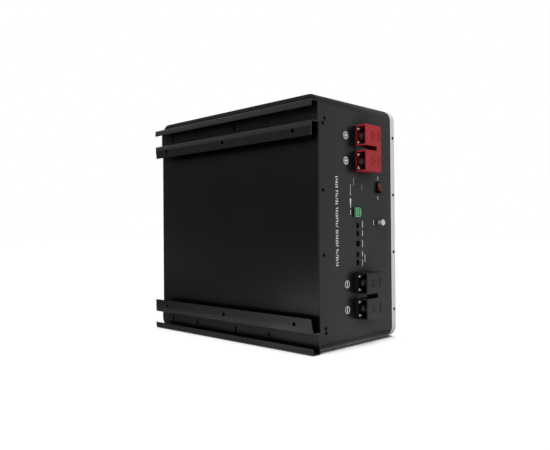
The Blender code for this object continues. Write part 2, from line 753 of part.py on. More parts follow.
def stud_bar(name, middle_z):
    """The copper bar behind a pair of terminals."""
    half = TERMINAL_PITCH / 2 + 11 * MM
    bar = block(
        (out(-6.3 * MM), BOLT_Y - 10 * MM, middle_z - half),
        (out(-9.3 * MM), BOLT_Y + 8 * MM, middle_z + half),
        name=name, finish=COPPER_METAL, helper=False,
    )
    for z in terminal_centres(middle_z):
        cut(bar, side_rod((BOLT_Y, z), 4.3 * MM, (-4 * MM, -12 * MM), sides=16))
    return bar


def make_leads():
    """Flat copper leads: to the positive studs, to the negative studs, and cells to controller."""
    start = pole(8, 1)
    face = start.y - GAP
    lead_front = face - 3 * MM
    low_z = start.z - 25 * MM  # passes under the link of cells 7 and 8
    far_left = out(-60 * MM)
    positive = stud_bar("positive_lead", POSITIVE_Z)
    join(
        positive,
        block((start.x - 9 * MM, lead_front, low_z), (start.x + 9 * MM, face, start.z + 8 * MM)),
        block((far_left, lead_front, low_z), (start.x + 9 * MM, face, low_z + 14 * MM)),
        block((far_left, lead_front, low_z), (far_left + 16 * MM, face, POSITIVE_Z)),
        block(
            (far_left, lead_front, POSITIVE_Z - 16 * MM),
            (far_left + 3 * MM, BOLT_Y + 10 * MM, POSITIVE_Z - MM),
        ),
        block(
            (out(-7 * MM), BOLT_Y - 9 * MM, POSITIVE_Z - 8 * MM),
            (far_left + MM, BOLT_Y + 9 * MM, POSITIVE_Z - 5 * MM),
        ),
    )
    board_left = BMS_BOARD[0][0]
    board_face = BMS_BOARD[0][1] - GAP
    rise_x = out(-78 * MM)
    negative = stud_bar("negative_lead", NEGATIVE_Z)
    join(
        negative,
        block(
            (out(-7 * MM), BOLT_Y - 9 * MM, NEGATIVE_Z - 8 * MM),
            (rise_x + 15 * MM, BOLT_Y + 9 * MM, NEGATIVE_Z - 5 * MM),
        ),
        block(
            (rise_x, BOLT_Y + 7 * MM, NEGATIVE_Z - 9 * MM),
            (rise_x + 16 * MM, BOLT_Y + 10 * MM, 282 * MM),
        ),
        block((rise_x, BOLT_Y + 8 * MM, 279 * MM), (rise_x + 16 * MM, board_face, 282 * MM)),
        block((rise_x, board_face - 3 * MM, 266 * MM), (board_left + 14 * MM, board_face, 282 * MM)),
    )
    start = pole(1, -1)
    face = start.y - GAP
    lead_front = face - 3 * MM
    drop_x = start.x + 14 * MM
    top = cell_centre(4).z + CELL.z / 2 + 8 * MM
    shelf = top + 3 * MM
    pack = block(
        (start.x - 9 * MM, lead_front, start.z - 8 * MM), (drop_x + 14 * MM, face, start.z + 8 * MM),
        name="cell_negative_lead", finish=COPPER_METAL, helper=False,
    )
    join(
        pack,
        block((drop_x, lead_front, start.z - 8 * MM), (drop_x + 14 * MM, face, shelf)),
        block((drop_x, lead_front, top), (drop_x + 14 * MM, board_face, shelf)),
        block((drop_x, board_face - 3 * MM, top), (drop_x + 14 * MM, board_face, 280 * MM)),
    )


make_case()
make_brackets()
make_terminals()
make_switch()
make_button()
make_ports()
make_dry_contacts()
make_ground()
make_lights()
make_interface_board()
make_cells()
make_links()
make_module_tray()
make_bms()
make_leads()
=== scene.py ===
"""Looks of a wall-mounted battery pack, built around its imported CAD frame.

X runs to the right seen from the front cover, Y towards the wall and Z up, in metres.
The terminal side faces -X, and "out" is a distance out from it, negative inside the case.
"""

import math

import bmesh
import bpy
from mathutils import Matrix, Vector


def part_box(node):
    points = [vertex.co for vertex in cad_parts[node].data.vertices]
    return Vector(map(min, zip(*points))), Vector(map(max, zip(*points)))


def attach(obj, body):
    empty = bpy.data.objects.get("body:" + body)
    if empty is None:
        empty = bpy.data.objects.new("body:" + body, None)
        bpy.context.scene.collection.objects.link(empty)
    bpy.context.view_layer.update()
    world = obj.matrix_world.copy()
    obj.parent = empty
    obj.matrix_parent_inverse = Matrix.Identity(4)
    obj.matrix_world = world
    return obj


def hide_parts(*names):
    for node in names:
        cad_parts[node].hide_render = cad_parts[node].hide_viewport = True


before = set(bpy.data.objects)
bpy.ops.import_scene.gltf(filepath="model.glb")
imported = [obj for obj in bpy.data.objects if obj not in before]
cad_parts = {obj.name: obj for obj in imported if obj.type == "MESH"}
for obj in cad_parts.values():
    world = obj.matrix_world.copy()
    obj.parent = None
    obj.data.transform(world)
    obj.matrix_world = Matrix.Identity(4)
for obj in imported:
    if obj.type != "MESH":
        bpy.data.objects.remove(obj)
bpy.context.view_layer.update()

MM = 0.001
SHEET = 2 * MM
GAP = 0.3 * MM  # between the case and what sits on it

SLEEVE_LOW, SLEEVE_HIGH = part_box("case_sleeve")
COVER_LOW, COVER_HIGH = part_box("front_cover")
SIDE_X = SLEEVE_LOW.x
HALF_WIDTH = SLEEVE_HIGH.x
BACK_Y = SLEEVE_HIGH.y
SPLIT_Y = SLEEVE_LOW.y
MID_Z = SLEEVE_HIGH.z / 2
CORNER_RADIUS = 22 * MM

TO_SIDE = Matrix(((0, 0, -1), (1, 0, 0), (0, -1, 0)))  # local x to +Y, y to -Z, z outwards
TO_WALL = Matrix(((-1, 0, 0), (0, 0, 1), (0, 1, 0)))  # local z towards the wall
TO_FAR_SIDE = Matrix(((0, 0, 1), (-1, 0, 0), (0, -1, 0)))


def side_point(y, z, out=0.0):
    """A point that far out from the terminal side."""
    return Vector((SIDE_X - out, y, z))


def centre_of(node):
    low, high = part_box(node)
    return (low + high) / 2


def about(middle, half):
    return (middle - half, middle + half)


def sweep(start, end, steps):
    """Angles in radians from start to end degrees, both included."""
    return [math.radians(start + (end - start) * i / steps) for i in range(steps + 1)]


# Shader nodes ------------------


def feed(tree, socket, value):
    """Sets an input to a value, or links another node's output to it."""
    if isinstance(value, bpy.types.NodeSocket):
        tree.links.new(value, socket)
    else:
        socket.default_value = value


def shader_node(tree, kind, inputs=None, **settings):
    """A new node, with its settings and its inputs by name or number."""
    node = tree.nodes.new("ShaderNode" + kind)
    for name, value in settings.items():
        setattr(node, name, value)
    for name, value in (inputs or {}).items():
        feed(tree, node.inputs[name], value)
    return node


def math_node(tree, operation, first, second):
    return shader_node(tree, "Math", {0: first, 1: second}, operation=operation).outputs["Value"]


def vector_node(tree, operation, *values):
    return shader_node(tree, "VectorMath", dict(enumerate(values)), operation=operation)


def remapped(tree, source, start, end, low, high, curve="LINEAR"):
    """source, taken from start..end to low..high."""
    inputs = {"Value": source, "From Min": start, "From Max": end, "To Min": low, "To Max": high}
    return shader_node(tree, "MapRange", inputs, interpolation_type=curve).outputs["Result"]


def smooth_ramp(tree, source, start, end, low, high):
    return remapped(tree, source, start, end, low, high, "SMOOTHSTEP")


def mixed(tree, share, first, second):
    """A shader between two others; share is how much of the second it has."""
    return shader_node(tree, "MixShader", {0: share, 1: first, 2: second}).outputs["Shader"]


# Materials ---------------------


class Finish:
    """A Principled material with its node tree at hand."""

    def __init__(self, name, colour, roughness, metallic=0.0, specular=0.5):
        self.material = bpy.data.materials.new(name)
        self.material.use_nodes = True
        self.tree = self.material.node_tree
        self.shader = self.tree.nodes["Principled BSDF"]
        self.colour = colour
        self.put("Base Color", (*colour, 1.0))
        self.put("Roughness", roughness)
        self.put("Metallic", metallic)
        self.put("Specular IOR Level", specular)
        self.where = self.node("TexCoord").outputs["Object"]

    def node(self, kind, inputs=None, **settings):
        return shader_node(self.tree, kind, inputs, **settings)

    def put(self, name, value):
        feed(self.tree, self.shader.inputs[name], value)

    def noise(self, scale, detail=3.0, roughness=0.5, stretch=None):
        """A noise of about 1/scale metres, optionally drawn out along an axis."""
        source = self.where
        if stretch:
            source = self.node("Mapping", {"Scale": stretch, "Vector": source}).outputs["Vector"]
        inputs = {"Scale": scale, "Detail": detail, "Roughness": roughness, "Vector": source}
        return self.node("TexNoise", inputs).outputs["Fac"]

    def spread(self, source, low, high, start=0.3, end=0.7):
        return remapped(self.tree, source, start, end, low, high)

    def shade(self, source, low, high):
        """Varies the base colour between low and high times its own value."""
        dark, light = ((*[min(1.0, level * c) for c in self.colour], 1) for level in (low, high))
        inputs = {0: self.spread(source, 0, 1), 6: dark, 7: light}  # by number: their names repeat
        mix = self.node("Mix", inputs, data_type="RGBA")
        self.put("Base Color", mix.outputs[2])

    def paint_hollow_shade(self, reach, least, own_only=False, painted_floor_glow=0.0):
        """Painted shade: less colour and sheen where the surface is closed in on within reach."""
        hollow_shade = self.node("AmbientOcclusion", {"Distance": reach}, samples=6, only_local=own_only)
        openness = hollow_shade.outputs["AO"]
        kept = self.spread(openness, least, 1, 0.45, 1)
        sheen = self.shader.inputs["Specular IOR Level"].default_value
        self.put("Specular IOR Level", math_node(self.tree, "MULTIPLY", kept, sheen))
        # Painted glow: a faint emission where the surface is most closed in, standing in for light
        # off the floor.
        if painted_floor_glow:
            self.put("Emission Color", (1, 1, 1, 1))
            self.put("Emission Strength", self.spread(openness, painted_floor_glow, 0, 0.2, 0.42))
        base = self.shader.inputs["Base Color"].links[0].from_socket
        dimmed = self.node("VectorMath", {0: base, "Scale": kept}, operation="SCALE")
        self.put("Base Color", dimmed.outputs["Vector"])

    def vary_roughness(self, source, low, high):
        self.put("Roughness", self.spread(source, low, high))

    def bump(self, source, depth):
        """A relief that many metres deep, on top of any relief already there."""
        node = self.node("Bump", {"Strength": 1.0, "Distance": depth, "Height": source})
        below = self.shader.inputs["Normal"].links
        if below:
            feed(self.tree, node.inputs["Normal"], below[0].from_socket)
        self.put("Normal", node.outputs["Normal"])


def powder_coat(name, colour, roughness, specular=0.5, grain=1.0, hollow_shade=None, mottling=0.15):
    """Baked powder paint: an orange-peel relief, fine pits and a faint mottle, and painted shade in
    its hollows when that is asked for.
    """
    paint = Finish(name, colour, roughness, specular=specular)
    paint.bump(paint.noise(700, 2.0), 0.05 * MM * grain)
    paint.bump(paint.noise(2600, 3.0), 0.015 * MM * grain)
    paint.vary_roughness(paint.noise(9, 4.0), roughness - 0.03, roughness + 0.04)
    paint.shade(paint.noise(350, 5.0, 0.7), 1 - mottling, 1 + mottling)
    if hollow_shade:
        paint.paint_hollow_shade(*hollow_shade)
    return paint.material


def moulded(name, colour, roughness, specular=0.5, grain=1.0, hollow_shade=None):
    """Injection-moulded plastic: spark-eroded texture and slight flow marks, and painted shade in
    its hollows when that is asked for.
    """
    plastic = Finish(name, colour, roughness, specular=specular)
    plastic.bump(plastic.noise(3200, 4.0), 0.02 * MM * grain)
    plastic.vary_roughness(plastic.noise(60, 3.0), roughness - 0.05, roughness + 0.06)
    plastic.shade(plastic.noise(40, 3.0, stretch=(1, 1, 0.3)), 0.93, 1.07)
    if hollow_shade:
        plastic.paint_hollow_shade(*hollow_shade)
    return plastic.material


def plated(name, colour, roughness, grain=1.0, stretch=None, metallic=1.0):
    """Plated or bare metal with fine tool marks and a cloudy sheen."""
    metal = Finish(name, colour, roughness, metallic=metallic)
    metal.bump(metal.noise(4000, 2.0, stretch=stretch), 0.01 * MM * grain)
    metal.vary_roughness(metal.noise(500, 4.0), roughness - 0.08, roughness + 0.12)
    metal.shade(metal.noise(260, 4.0), 0.85, 1.1)
    return metal.material


WIDE = 45 * MM  # how far a hollow's dimming looks about, on large pieces
RED = (0.42, 0.02, 0.026)
BLACK = (0.0075, 0.0075, 0.008)
# Case, back and bracket paints get painted shade in their hollows; the case paint also a faint
# painted glow where it is most closed in.
CASE_PAINT = powder_coat(
    "case_powder_coat", (0.006, 0.006, 0.0062), 0.32, hollow_shade=(35 * MM, 0.3, False, 0.03)
)
BACK_PAINT = powder_coat("back_powder_coat", (0.005, 0.005, 0.0053), 0.24, 0.42, 0.5, (WIDE, 0.2))
BRACKET_PAINT = powder_coat("bracket_powder_coat", (0.007, 0.007, 0.0072), 0.3, hollow_shade=(WIDE, 0.42))
COVER_PAINT = powder_coat("cover_powder_coat", (0.78, 0.78, 0.81), 0.4, mottling=0.03)
# Hoods get painted shade from their own hollows only; the bases' copies of the same plastics also
# get painted shade where the hoods close them in.
RED_PLASTIC = moulded("red_moulding", RED, 0.5, 0.35, hollow_shade=(WIDE, 0.22, True))
RED_BASE = moulded("red_base_moulding", RED, 0.5, 0.35, hollow_shade=(WIDE, 0.22))
RED_GLOSS = moulded("red_rocker_moulding", (0.09, 0.005, 0.007), 0.16, 0.6, 0.2)
BLACK_PLASTIC = moulded("black_moulding", BLACK, 0.4, hollow_shade=(WIDE, 0.45, True))
BLACK_BASE = moulded("black_base_moulding", BLACK, 0.4, hollow_shade=(WIDE, 0.5))
MATT_BLACK = moulded("matt_black_moulding", (0.0015, 0.0015, 0.0015), 0.6, 0.04)
CAP_BLACK = moulded("button_cap_moulding", (0.0015, 0.0015, 0.0016), 0.5, 0.04)
# The green plastic gets painted shade in its wire and screw holes.
GREEN_PLASTIC = moulded("green_moulding", (0.16, 0.5, 0.26), 0.42, hollow_shade=(5 * MM, 0.05, True))
RUBBER_BLACK = moulded("gasket_foam", (0.004, 0.004, 0.004), 0.9, 0.1, 3.0)
ZINC = plated("zinc_plate", (0.68, 0.69, 0.7), 0.3)
# Zinc darkened to look shaded inside the hoods: painted shade on the terminal bolts.
SHADED_ZINC = plated("shaded_zinc_plate", (0.1, 0.1, 0.105), 0.5)
# Near-black metal for the plug's screws and clamps, darkened as painted shade at the bottom of their
# holes.
HOLE_SHADE_METAL = plated("hole_shade_metal", (0.035, 0.035, 0.037), 0.4)
BRASS = plated("turned_brass", (0.6, 0.53, 0.43), 0.42, 1.5, (0.2, 1, 1), 0.15)
PALE_NICKEL = plated("brushed_nickel_plate", (0.82, 0.81, 0.78), 0.4, metallic=0.15)
NICKEL = plated("nickel_plate", (0.9, 0.89, 0.87), 0.25)
COPPER = plated("bare_copper", (0.72, 0.36, 0.2), 0.34)
ALUMINIUM = plated("plain_aluminium", (0.72, 0.73, 0.74), 0.38, 1.5, (1, 1, 0.05))
GOLD = plated("contact_gold", (0.9, 0.66, 0.28), 0.2)
PRINT_WHITE = moulded("printed_ink", (0.82, 0.82, 0.82), 0.6, 0.3, 0.5)
PRINT_GREY = moulded("worn_ink", (0.3, 0.3, 0.3), 0.6, 0.3, 0.5)
CELL_FILM = moulded("cell_film", (0.012, 0.06, 0.2), 0.3)
BOARD = moulded("solder_mask", (0.006, 0.09, 0.03), 0.35)
LENS = moulded("light_pipe", (0.01, 0.01, 0.011), 0.3, 0.3, 0.1)


# Mesh building -----------------


def to_mesh(bm, name):
    bmesh.ops.recalc_face_normals(bm, faces=bm.faces)
    mesh = bpy.data.meshes.new(name)
    bm.to_mesh(mesh)
    bm.free()
    return mesh


def new_object(name, data):
    obj = bpy.data.objects.new(name, data)
    bpy.context.scene.collection.objects.link(obj)
    return obj


def combined(meshes):
    """One bmesh that holds copies of several, each freed after it is copied."""
    whole = bmesh.new()
    for bm in meshes:
        mesh = to_mesh(bm, "piece")
        whole.from_mesh(mesh)
        bpy.data.meshes.remove(mesh)
    return whole


def boolean(bm, others, operation="DIFFERENCE", bevel=0.0):
    """bm with the others cut away or joined on, each handled alone."""
    base, *tools = [new_object("tool", to_mesh(shape, "tool")) for shape in (bm, *others)]
    for other in tools:
        modifier = base.modifiers.new("shape", "BOOLEAN")
        modifier.operation = operation
        modifier.solver = "EXACT"
        modifier.object = other
    if bevel:
        rounding = base.modifiers.new("rounding", "BEVEL")
        rounding.width = bevel
        rounding.segments = 2
        rounding.limit_method = "ANGLE"
        rounding.angle_limit = math.radians(40)
        rounding.use_clamp_overlap = True
    graph = bpy.context.evaluated_depsgraph_get()
    result = bmesh.new()
    result.from_mesh(base.evaluated_get(graph).to_mesh())
    bmesh.ops.remove_doubles(result, verts=result.verts, dist=0.001 * MM)
    for obj in [base, *tools]:
        mesh = obj.data
        bpy.data.objects.remove(obj)
        bpy.data.meshes.remove(mesh)
    return result


def box(low, high, rounding=0.0, steps=2):
    """A box between two corners with every edge rounded."""
    low, high = Vector(low), Vector(high)
    bm = bmesh.new()
    bmesh.ops.create_cube(bm, size=1.0)
    bmesh.ops.scale(bm, vec=high - low, verts=bm.verts)
    bmesh.ops.translate(bm, vec=(low + high) / 2, verts=bm.verts)
    if rounding:
        bmesh.ops.bevel(
            bm, geom=list(bm.edges), offset=rounding, segments=steps, profile=0.5,
            affect="EDGES", clamp_overlap=True,
        )
    return bm


def side_box(y_range, z_range, out_range, rounding=0.0, steps=2):
    low = (SIDE_X - max(out_range), min(y_range), min(z_range))
    high = (SIDE_X - min(out_range), max(y_range), max(z_range))
    return box(low, high, rounding, steps)


def block(at, halves, out_range, rounding=0.0, steps=2):
    """A box about a small device's middle, given its half sizes in Y and Z; in millimetres."""
    y_range, z_range = about(at.y, halves[0] * MM), about(at.z, halves[1] * MM)
    return side_box(y_range, z_range, [out * MM for out in out_range], rounding * MM, steps)


def hull(rings, closed=False):
    """A solid from rings of as many points each; closed joins the last ring to the first."""
    bm = bmesh.new()
    rings = [[bm.verts.new(point) for point in ring] for ring in rings]
    count = len(rings[0])
    following = rings[1:] + rings[:1] if closed else rings[1:]
    for a, b in zip(rings, following):
        for i in range(count):
            j = (i + 1) % count
            bm.faces.new((a[i], a[j], b[j], b[i]))
    if not closed:
        bm.faces.new(rings[0])
        bm.faces.new(rings[-1])
    return bm


def circle(radius, sides):
    return [(radius * math.cos(a), radius * math.sin(a)) for a in sweep(0, 360, sides)[:-1]]


def turned(profile, sides=48):
    """A solid turned about local Z from (radius, height) pairs; radius 0 closes an end."""
    bm = bmesh.new()
    rings = []
    for radius, height in profile:
        points = circle(radius, sides) if radius else [(0, 0)]
        rings.append([bm.verts.new((*point, height)) for point in points])
    for a, b in zip(rings, rings[1:]):
        if len(a) != len(b) and a[0].co.z == b[0].co.z:  # a flat end is one face
            bm.faces.new(max(a, b, key=len))
            continue
        for i in range(sides):
            j = (i + 1) % sides
            corners = [a[i % len(a)], a[j % len(a)], b[j % len(b)], b[i % len(b)]]
            bm.faces.new(list(dict.fromkeys(corners)))
    bmesh.ops.delete(bm, geom=[v for v in bm.verts if not v.link_faces], context="VERTS")
    return bm


def disc(radius, low, high, sides=24):
    return turned([(0, low), (radius, low), (radius, high), (0, high)], sides)


def flat_ring(outer, inner, low, high, sides):
    """A ring about local Z with a square section."""
    profile = [(outer, low), (outer, high), (inner, high), (inner, low), (outer, low)]
    bm = turned(profile, sides)
    bmesh.ops.remove_doubles(bm, verts=bm.verts, dist=1e-7)
    return bm


def prism(outline, low, high, taper=0.0, taper_height=0.0):
    """An outline in local x and y, raised from low to high with a chamfer at the top."""
    middle = sum((Vector(p) for p in outline), Vector((0, 0))) / len(outline)

    def ring(height, inset):
        offsets = [Vector(point) - middle for point in outline]
        return [(*(middle + o * max(0.0, 1 - inset / o.length)), height) for o in offsets]

    rings = [ring(low, 0), ring(high - taper_height, 0)]
    if taper:
        rings.append(ring(high, taper))
    return hull(rings)


def xz_prism(outline, y_range):
    """A solid with the same outline in X and Z at both ends of a range in Y."""
    return hull([[(x, y, z) for x, z in outline] for y in y_range])


def moved(bm, turn=None, to=(0, 0, 0)):
    """bm turned by a 3x3 matrix, then moved."""
    matrix = Matrix.Translation(to)
    if turn is not None:
        matrix = matrix @ turn.to_4x4()
    bmesh.ops.transform(bm, matrix=matrix, verts=bm.verts)
    return bm


def side_hole(y, z, radius, out_range, sides=32):
    return moved(disc(radius, *out_range, sides), TO_SIDE, side_point(y, z))


def rod(start, end, radius, sides=24):
    start, end = Vector(start), Vector(end)
    along = end - start
    turn = along.to_track_quat("Z", "Y").to_matrix()
    return moved(disc(radius, 0, along.length, sides), turn, start)


def finished(name, bm, material, smooth_angle=32):
    """A mesh with its material, smooth where its faces meet at less than an angle."""
    mesh = to_mesh(bm, name)
    mesh.materials.append(material)
    for face in mesh.polygons:
        face.use_smooth = True
    mesh.set_sharp_from_angle(angle=math.radians(smooth_angle))
    return mesh


def show(name, mesh, body, stands_for, place=Matrix()):
    """A new visible object, riding on a body from its place in the frame."""
    obj = new_object(name, mesh)
    obj.matrix_world = place
    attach(obj, body)
    if stands_for:
        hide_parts(stands_for)


def piece(name, bm, material, stands_for=None, body="case", smooth_angle=32):
    """A visible piece whose mesh is in the frame's own coordinates."""
    show(name, finished(name, bm, material, smooth_angle), body, stands_for)


def placed(name, mesh, turn, to, stands_for=None):
    """A copy of a screw's mesh on the case, turned and moved."""
    show(name, mesh, "case", stands_for, Matrix.Translation(to) @ turn.to_4x4())


def outline_ring(inset, y, steps=20):
    """Points of the case's rounded outline at y, drawn in by inset."""
    radius = max(CORNER_RADIUS - inset, 0.05 * MM)
    reach_x = HALF_WIDTH - CORNER_RADIUS
    reach_z = MID_Z - CORNER_RADIUS
    points = []
    for quarter, (sx, sz) in enumerate(((1, 1), (-1, 1), (-1, -1), (1, -1))):
        for a in sweep(90 * quarter, 90 * quarter + 90, steps):
            x = sx * reach_x + radius * math.cos(a)
            points.append((x, y, MID_Z + sz * reach_z + radius * math.sin(a)))
    return points


def case_sheet(profile, closed=False):
    """Sheet that follows the case's outline, from (inset, y) pairs.

    A closed profile gives a tube; an open one gives a pan whose two ends are filled.
    """
    return hull([outline_ring(inset, y) for inset, y in profile], closed)


# Case --------------------------

PORT_NODES = ("comm_port_1", "comm_port_2")
JACK_OFFSET = 7.5 * MM  # of each jack of a port from the port's middle
PORTS = [centre_of(node).z + side * JACK_OFFSET for node in PORT_NODES for side in (1, -1)]
PORT_Y = 7 * MM
LIGHTS_AT = ((14 * MM, MID_Z + 77.4 * MM), (7.4 * MM, MID_Z + 67.6 * MM))
SWITCH_AT = centre_of("power_switch_body")
BUTTON_AT = centre_of("wake_button_body")
SOCKET_AT = centre_of("dry_contact_socket")
GROUND_AT = centre_of("ground_screw")
POLES = ("positive", "negative")
THROUGH = (-6 * MM, 4 * MM)  # a cut through the case's wall, by distance out
LIGHT_HOLE = 1.8 * MM
BUTTON_HOLE = 4.4 * MM
GROUND_HOLE = 3.3 * MM
TERMINAL_BOSS = 10.4 * MM
SWITCH_OPENING = (6.7, 9.7)  # half sizes in Y and Z, in millimetres
SOCKET_OPENING = (4.7, 9.2)


def port_cutters(z, out_range, grow=0.0):
    """A modular jack's opening with its stepped latch notch, towards the front."""
    y_range = (PORT_Y - 1.6 * MM - grow, PORT_Y + 5.2 * MM + grow)
    found = [side_box(y_range, about(z, 5.5 * MM + grow), out_range)]
    for reach, half in ((1.4 * MM, 2.7 * MM), (2.6 * MM, 1.8 * MM)):
        found.append(side_box((y_range[0] - reach, PORT_Y), about(z, half + grow), out_range))
    return found


def folded_edge(inset, y, radius, towards, steps):
    """(inset, y) pairs of a quarter fold from a panel's rim onto its face."""
    return [
        (inset + radius * (1 - math.sin(a)), y + towards * radius * (1 - math.cos(a)))
        for a in sweep(0, 90, steps)
    ]


def make_sleeve():
    edge, near_edge = 0.5 * MM, 0.15 * MM
    profile = [
        (0, SPLIT_Y + edge), (0, BACK_Y - edge), (near_edge, BACK_Y - near_edge), (edge, BACK_Y),
        (SHEET, BACK_Y), (SHEET, SPLIT_Y), (edge, SPLIT_Y), (near_edge, SPLIT_Y + near_edge),
    ]
    holes = [(y, z, LIGHT_HOLE) for y, z in LIGHTS_AT]
    holes += [(BUTTON_AT.y, BUTTON_AT.z, BUTTON_HOLE), (GROUND_AT.y, GROUND_AT.z, GROUND_HOLE)]
    for pole in POLES:
        for n in (1, 2):
            bolt = centre_of(f"{pole}_terminal_bolt_{n}")
            holes.append((bolt.y, bolt.z, TERMINAL_BOSS))
    cutters = [side_hole(*hole, THROUGH) for hole in holes]
    for z in PORTS:
        cutters += port_cutters(z, THROUGH)
    for at, halves in ((SWITCH_AT, SWITCH_OPENING), (SOCKET_AT, SOCKET_OPENING)):
        cutters.append(block(at, halves, (-6, 4)))
    sleeve = boolean(case_sheet(profile, closed=True), cutters)
    piece("sleeve_shell", sleeve, CASE_PAINT, "case_sleeve")


def make_panels():
    low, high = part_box("back_panel")
    inset = HALF_WIDTH - high.x
    arc = folded_edge(inset, BACK_Y, 1.6 * MM, -1, 5)
    flange = [(inset, low.y), (inset + SHEET, low.y), (inset + SHEET, BACK_Y - SHEET)]
    piece("back_sheet", case_sheet(arc + flange), BACK_PAINT, "back_panel")

    rim = COVER_HIGH.y
    arc = folded_edge(0, COVER_LOW.y, 3 * MM, 1, 6)
    flange = [(0, rim - 0.4 * MM), (0.12 * MM, rim - 0.12 * MM), (0.4 * MM, rim), (SHEET, rim)]
    cover = case_sheet([*arc, *flange, (SHEET, COVER_LOW.y + SHEET)])
    piece("cover_shell", cover, COVER_PAINT, "front_cover")


# Screws ------------------------


def cross_recess(reach, depth, top):
    """A cross, cut down into a screw's head from its top."""
    width = reach * 0.3
    arm = [(width, -width), (reach, -width), (reach, width)]
    outline = [Matrix.Rotation(a, 2) @ Vector(point) for a in sweep(0, 270, 3) for point in arm]
    return moved(prism(outline, -depth, depth), None, (0, 0, top))


def pan_screw(name, radius, height, material, shank=3.0 * MM):
    """A domed head with a cross recess; local z = 0 is where it seats."""
    dome = [
        (radius * (0.55 + 0.45 * math.cos(a)), height * (0.25 + 0.75 * math.sin(a)))
        for a in sweep(0, 90, 6)
    ]
    stem = [(0, -shank), (radius * 0.5, -shank), (radius * 0.5, 0), (radius, 0)]
    head = turned([*stem, *dome, (0, height)], 28)
    recess = cross_recess(radius * 0.55, height * 0.6, height)
    return finished(name, boolean(head, [recess]), material)


def hex_bolt(name, across, height, flange_radius, flange, material):
    """A flanged hex head with a chamfered top and a dished face; z = 0 is its seat."""
    radius = across / math.sqrt(3)
    profile = [(0, 0), (flange_radius, 0), (flange_radius, flange * 0.4)]
    head = turned([*profile, (flange_radius * 0.9, flange), (0, flange)], 36)
    hexagon = prism(circle(radius, 6), flange * 0.5, height, radius * 0.1, radius * 0.08)
    bottom, top = height - 0.5 * MM, height + MM
    dish = turned([(0, bottom), (radius * 0.55, bottom), (radius * 0.62, top), (0, top)], 28)
    return finished(name, boolean(boolean(head, [hexagon], "UNION"), [dish]), material)


CASE_SCREW = pan_screw("case_screw", 2.9 * MM, 1.2 * MM, MATT_BLACK)
BASE_SCREW = pan_screw("base_screw", 3.4 * MM, 2.2 * MM, NICKEL, 5 * MM)
BRACKET_SCREW = pan_screw("bracket_screw", 3.6 * MM, 2.2 * MM, BRACKET_PAINT, 6 * MM)
# The terminal bolts use the darkened zinc, painted shade inside the hoods.
TERMINAL_BOLT = hex_bolt("terminal_bolt", 13 * MM, 6.6 * MM, 9 * MM, 2.6 * MM, SHADED_ZINC)
GROUND_BOLT = hex_bolt("ground_bolt", 10.2 * MM, 2.6 * MM, 4.6 * MM, 0.6 * MM, PALE_NICKEL)

EDGE_SCREWS = (  # from the back edge, and up from the middle height
    (11 * MM, 173 * MM), (16 * MM, 182.4 * MM), (10 * MM, 57 * MM),
    (11.7 * MM, -55.6 * MM), (15 * MM, -182.7 * MM), (16 * MM, -190.6 * MM),
)
COVER_SCREWS_Z = (169.5 * MM, 56.5 * MM, -56.5 * MM, -169.5 * MM)


def make_small_screws():
    cover_y = (COVER_LOW.y + COVER_HIGH.y) / 2
    spots = [(BACK_Y - y, MID_Z + z) for y, z in EDGE_SCREWS]
    spots += [(cover_y, MID_Z + z) for z in COVER_SCREWS_Z]
    for n, (y, z) in enumerate(spots, 1):
        placed(f"left_edge_screw_{n}", CASE_SCREW, TO_SIDE, (SIDE_X, y, z))
        placed(f"right_edge_screw_{n}", CASE_SCREW, TO_FAR_SIDE, (HALF_WIDTH, y, z))


# Wall brackets -----------------

BRACKET_MID_Z = MID_Z - 6.9 * MM
BRACKET_INNER = 182.5 * MM
SHORT_LIP = 12 * MM
HOOK_DROP = 10.6 * MM
HOOK_TIP = 16 * MM
LIP_SPRING = 1 * MM  # the flanges are that much shorter than the lips stand out
HOOK_SLANT = 5.4 * MM
HOOK_HOLE_DROP = 3.9 * MM
HOOK_HOLE_RADIUS = 3.9 * MM
BEND_RADIUS = 1.7 * MM  # of the sheet's middle line
HOOK_HOLES_X = (-186 * MM, 0.0, 186 * MM)
WEB_SLOTS_X = (188 * MM, -15 * MM)
WEB_SLOT_SIZE = (5 * MM, 20 * MM)


def strip_outline(points, radius, thickness, steps=5):
    """Outline of a bent strip about its middle line, whose corners are rounded."""
    points = [Vector(p) for p in points]
    line = [points[0]]
    for before, corner, after in zip(points, points[1:], points[2:]):
        a, b = (before - corner).normalized(), (after - corner).normalized()
        half = a.angle(b) / 2
        reach = radius / math.tan(half)
        centre = corner + (a + b).normalized() * (radius / math.sin(half))
        start, end = corner + a * reach - centre, corner + b * reach - centre
        turn = start.angle_signed(end)
        for i in range(steps + 1):
            line.append(centre + Matrix.Rotation(-turn * i / steps, 2) @ start)
    line.append(points[-1])
    sides = ([], [])
    for i, point in enumerate(line):
        ahead = line[min(i + 1, len(line) - 1)] - line[max(i - 1, 0)]
        normal = Vector((-ahead.y, ahead.x)).normalized() * thickness / 2
        sides[0].append(point + normal)
        sides[1].append(point - normal)
    return sides[0] + sides[1][::-1]


def wall_slot(x, z, y_range):
    width, height = WEB_SLOT_SIZE
    radius = width / 2
    outline = [
        (radius * math.cos(a), side * (height - width) / 2 + radius * math.sin(a))
        for start, side in ((0, 1), (180, -1))
        for a in sweep(start, start + 180, 8)
    ]
    return moved(prism(outline, *y_range), TO_WALL, (x, 0, z))


def web_corner(outer, side, y_range):
    """Cutter that rounds the +X end of a web and its outer flange like the case's corner."""
    middle, low = HALF_WIDTH - CORNER_RADIUS, outer - side * CORNER_RADIUS
    far_x, far_z = CORNER_RADIUS + MM, 26 * MM
    points = [(CORNER_RADIUS * math.cos(a), CORNER_RADIUS * math.sin(a)) for a in sweep(0, 80, 14)]
    points += [(0.18 * CORNER_RADIUS, far_z), (far_x, far_z), (far_x, 0)]
    return xz_prism([(middle + x, low + side * z) for x, z in points], y_range)


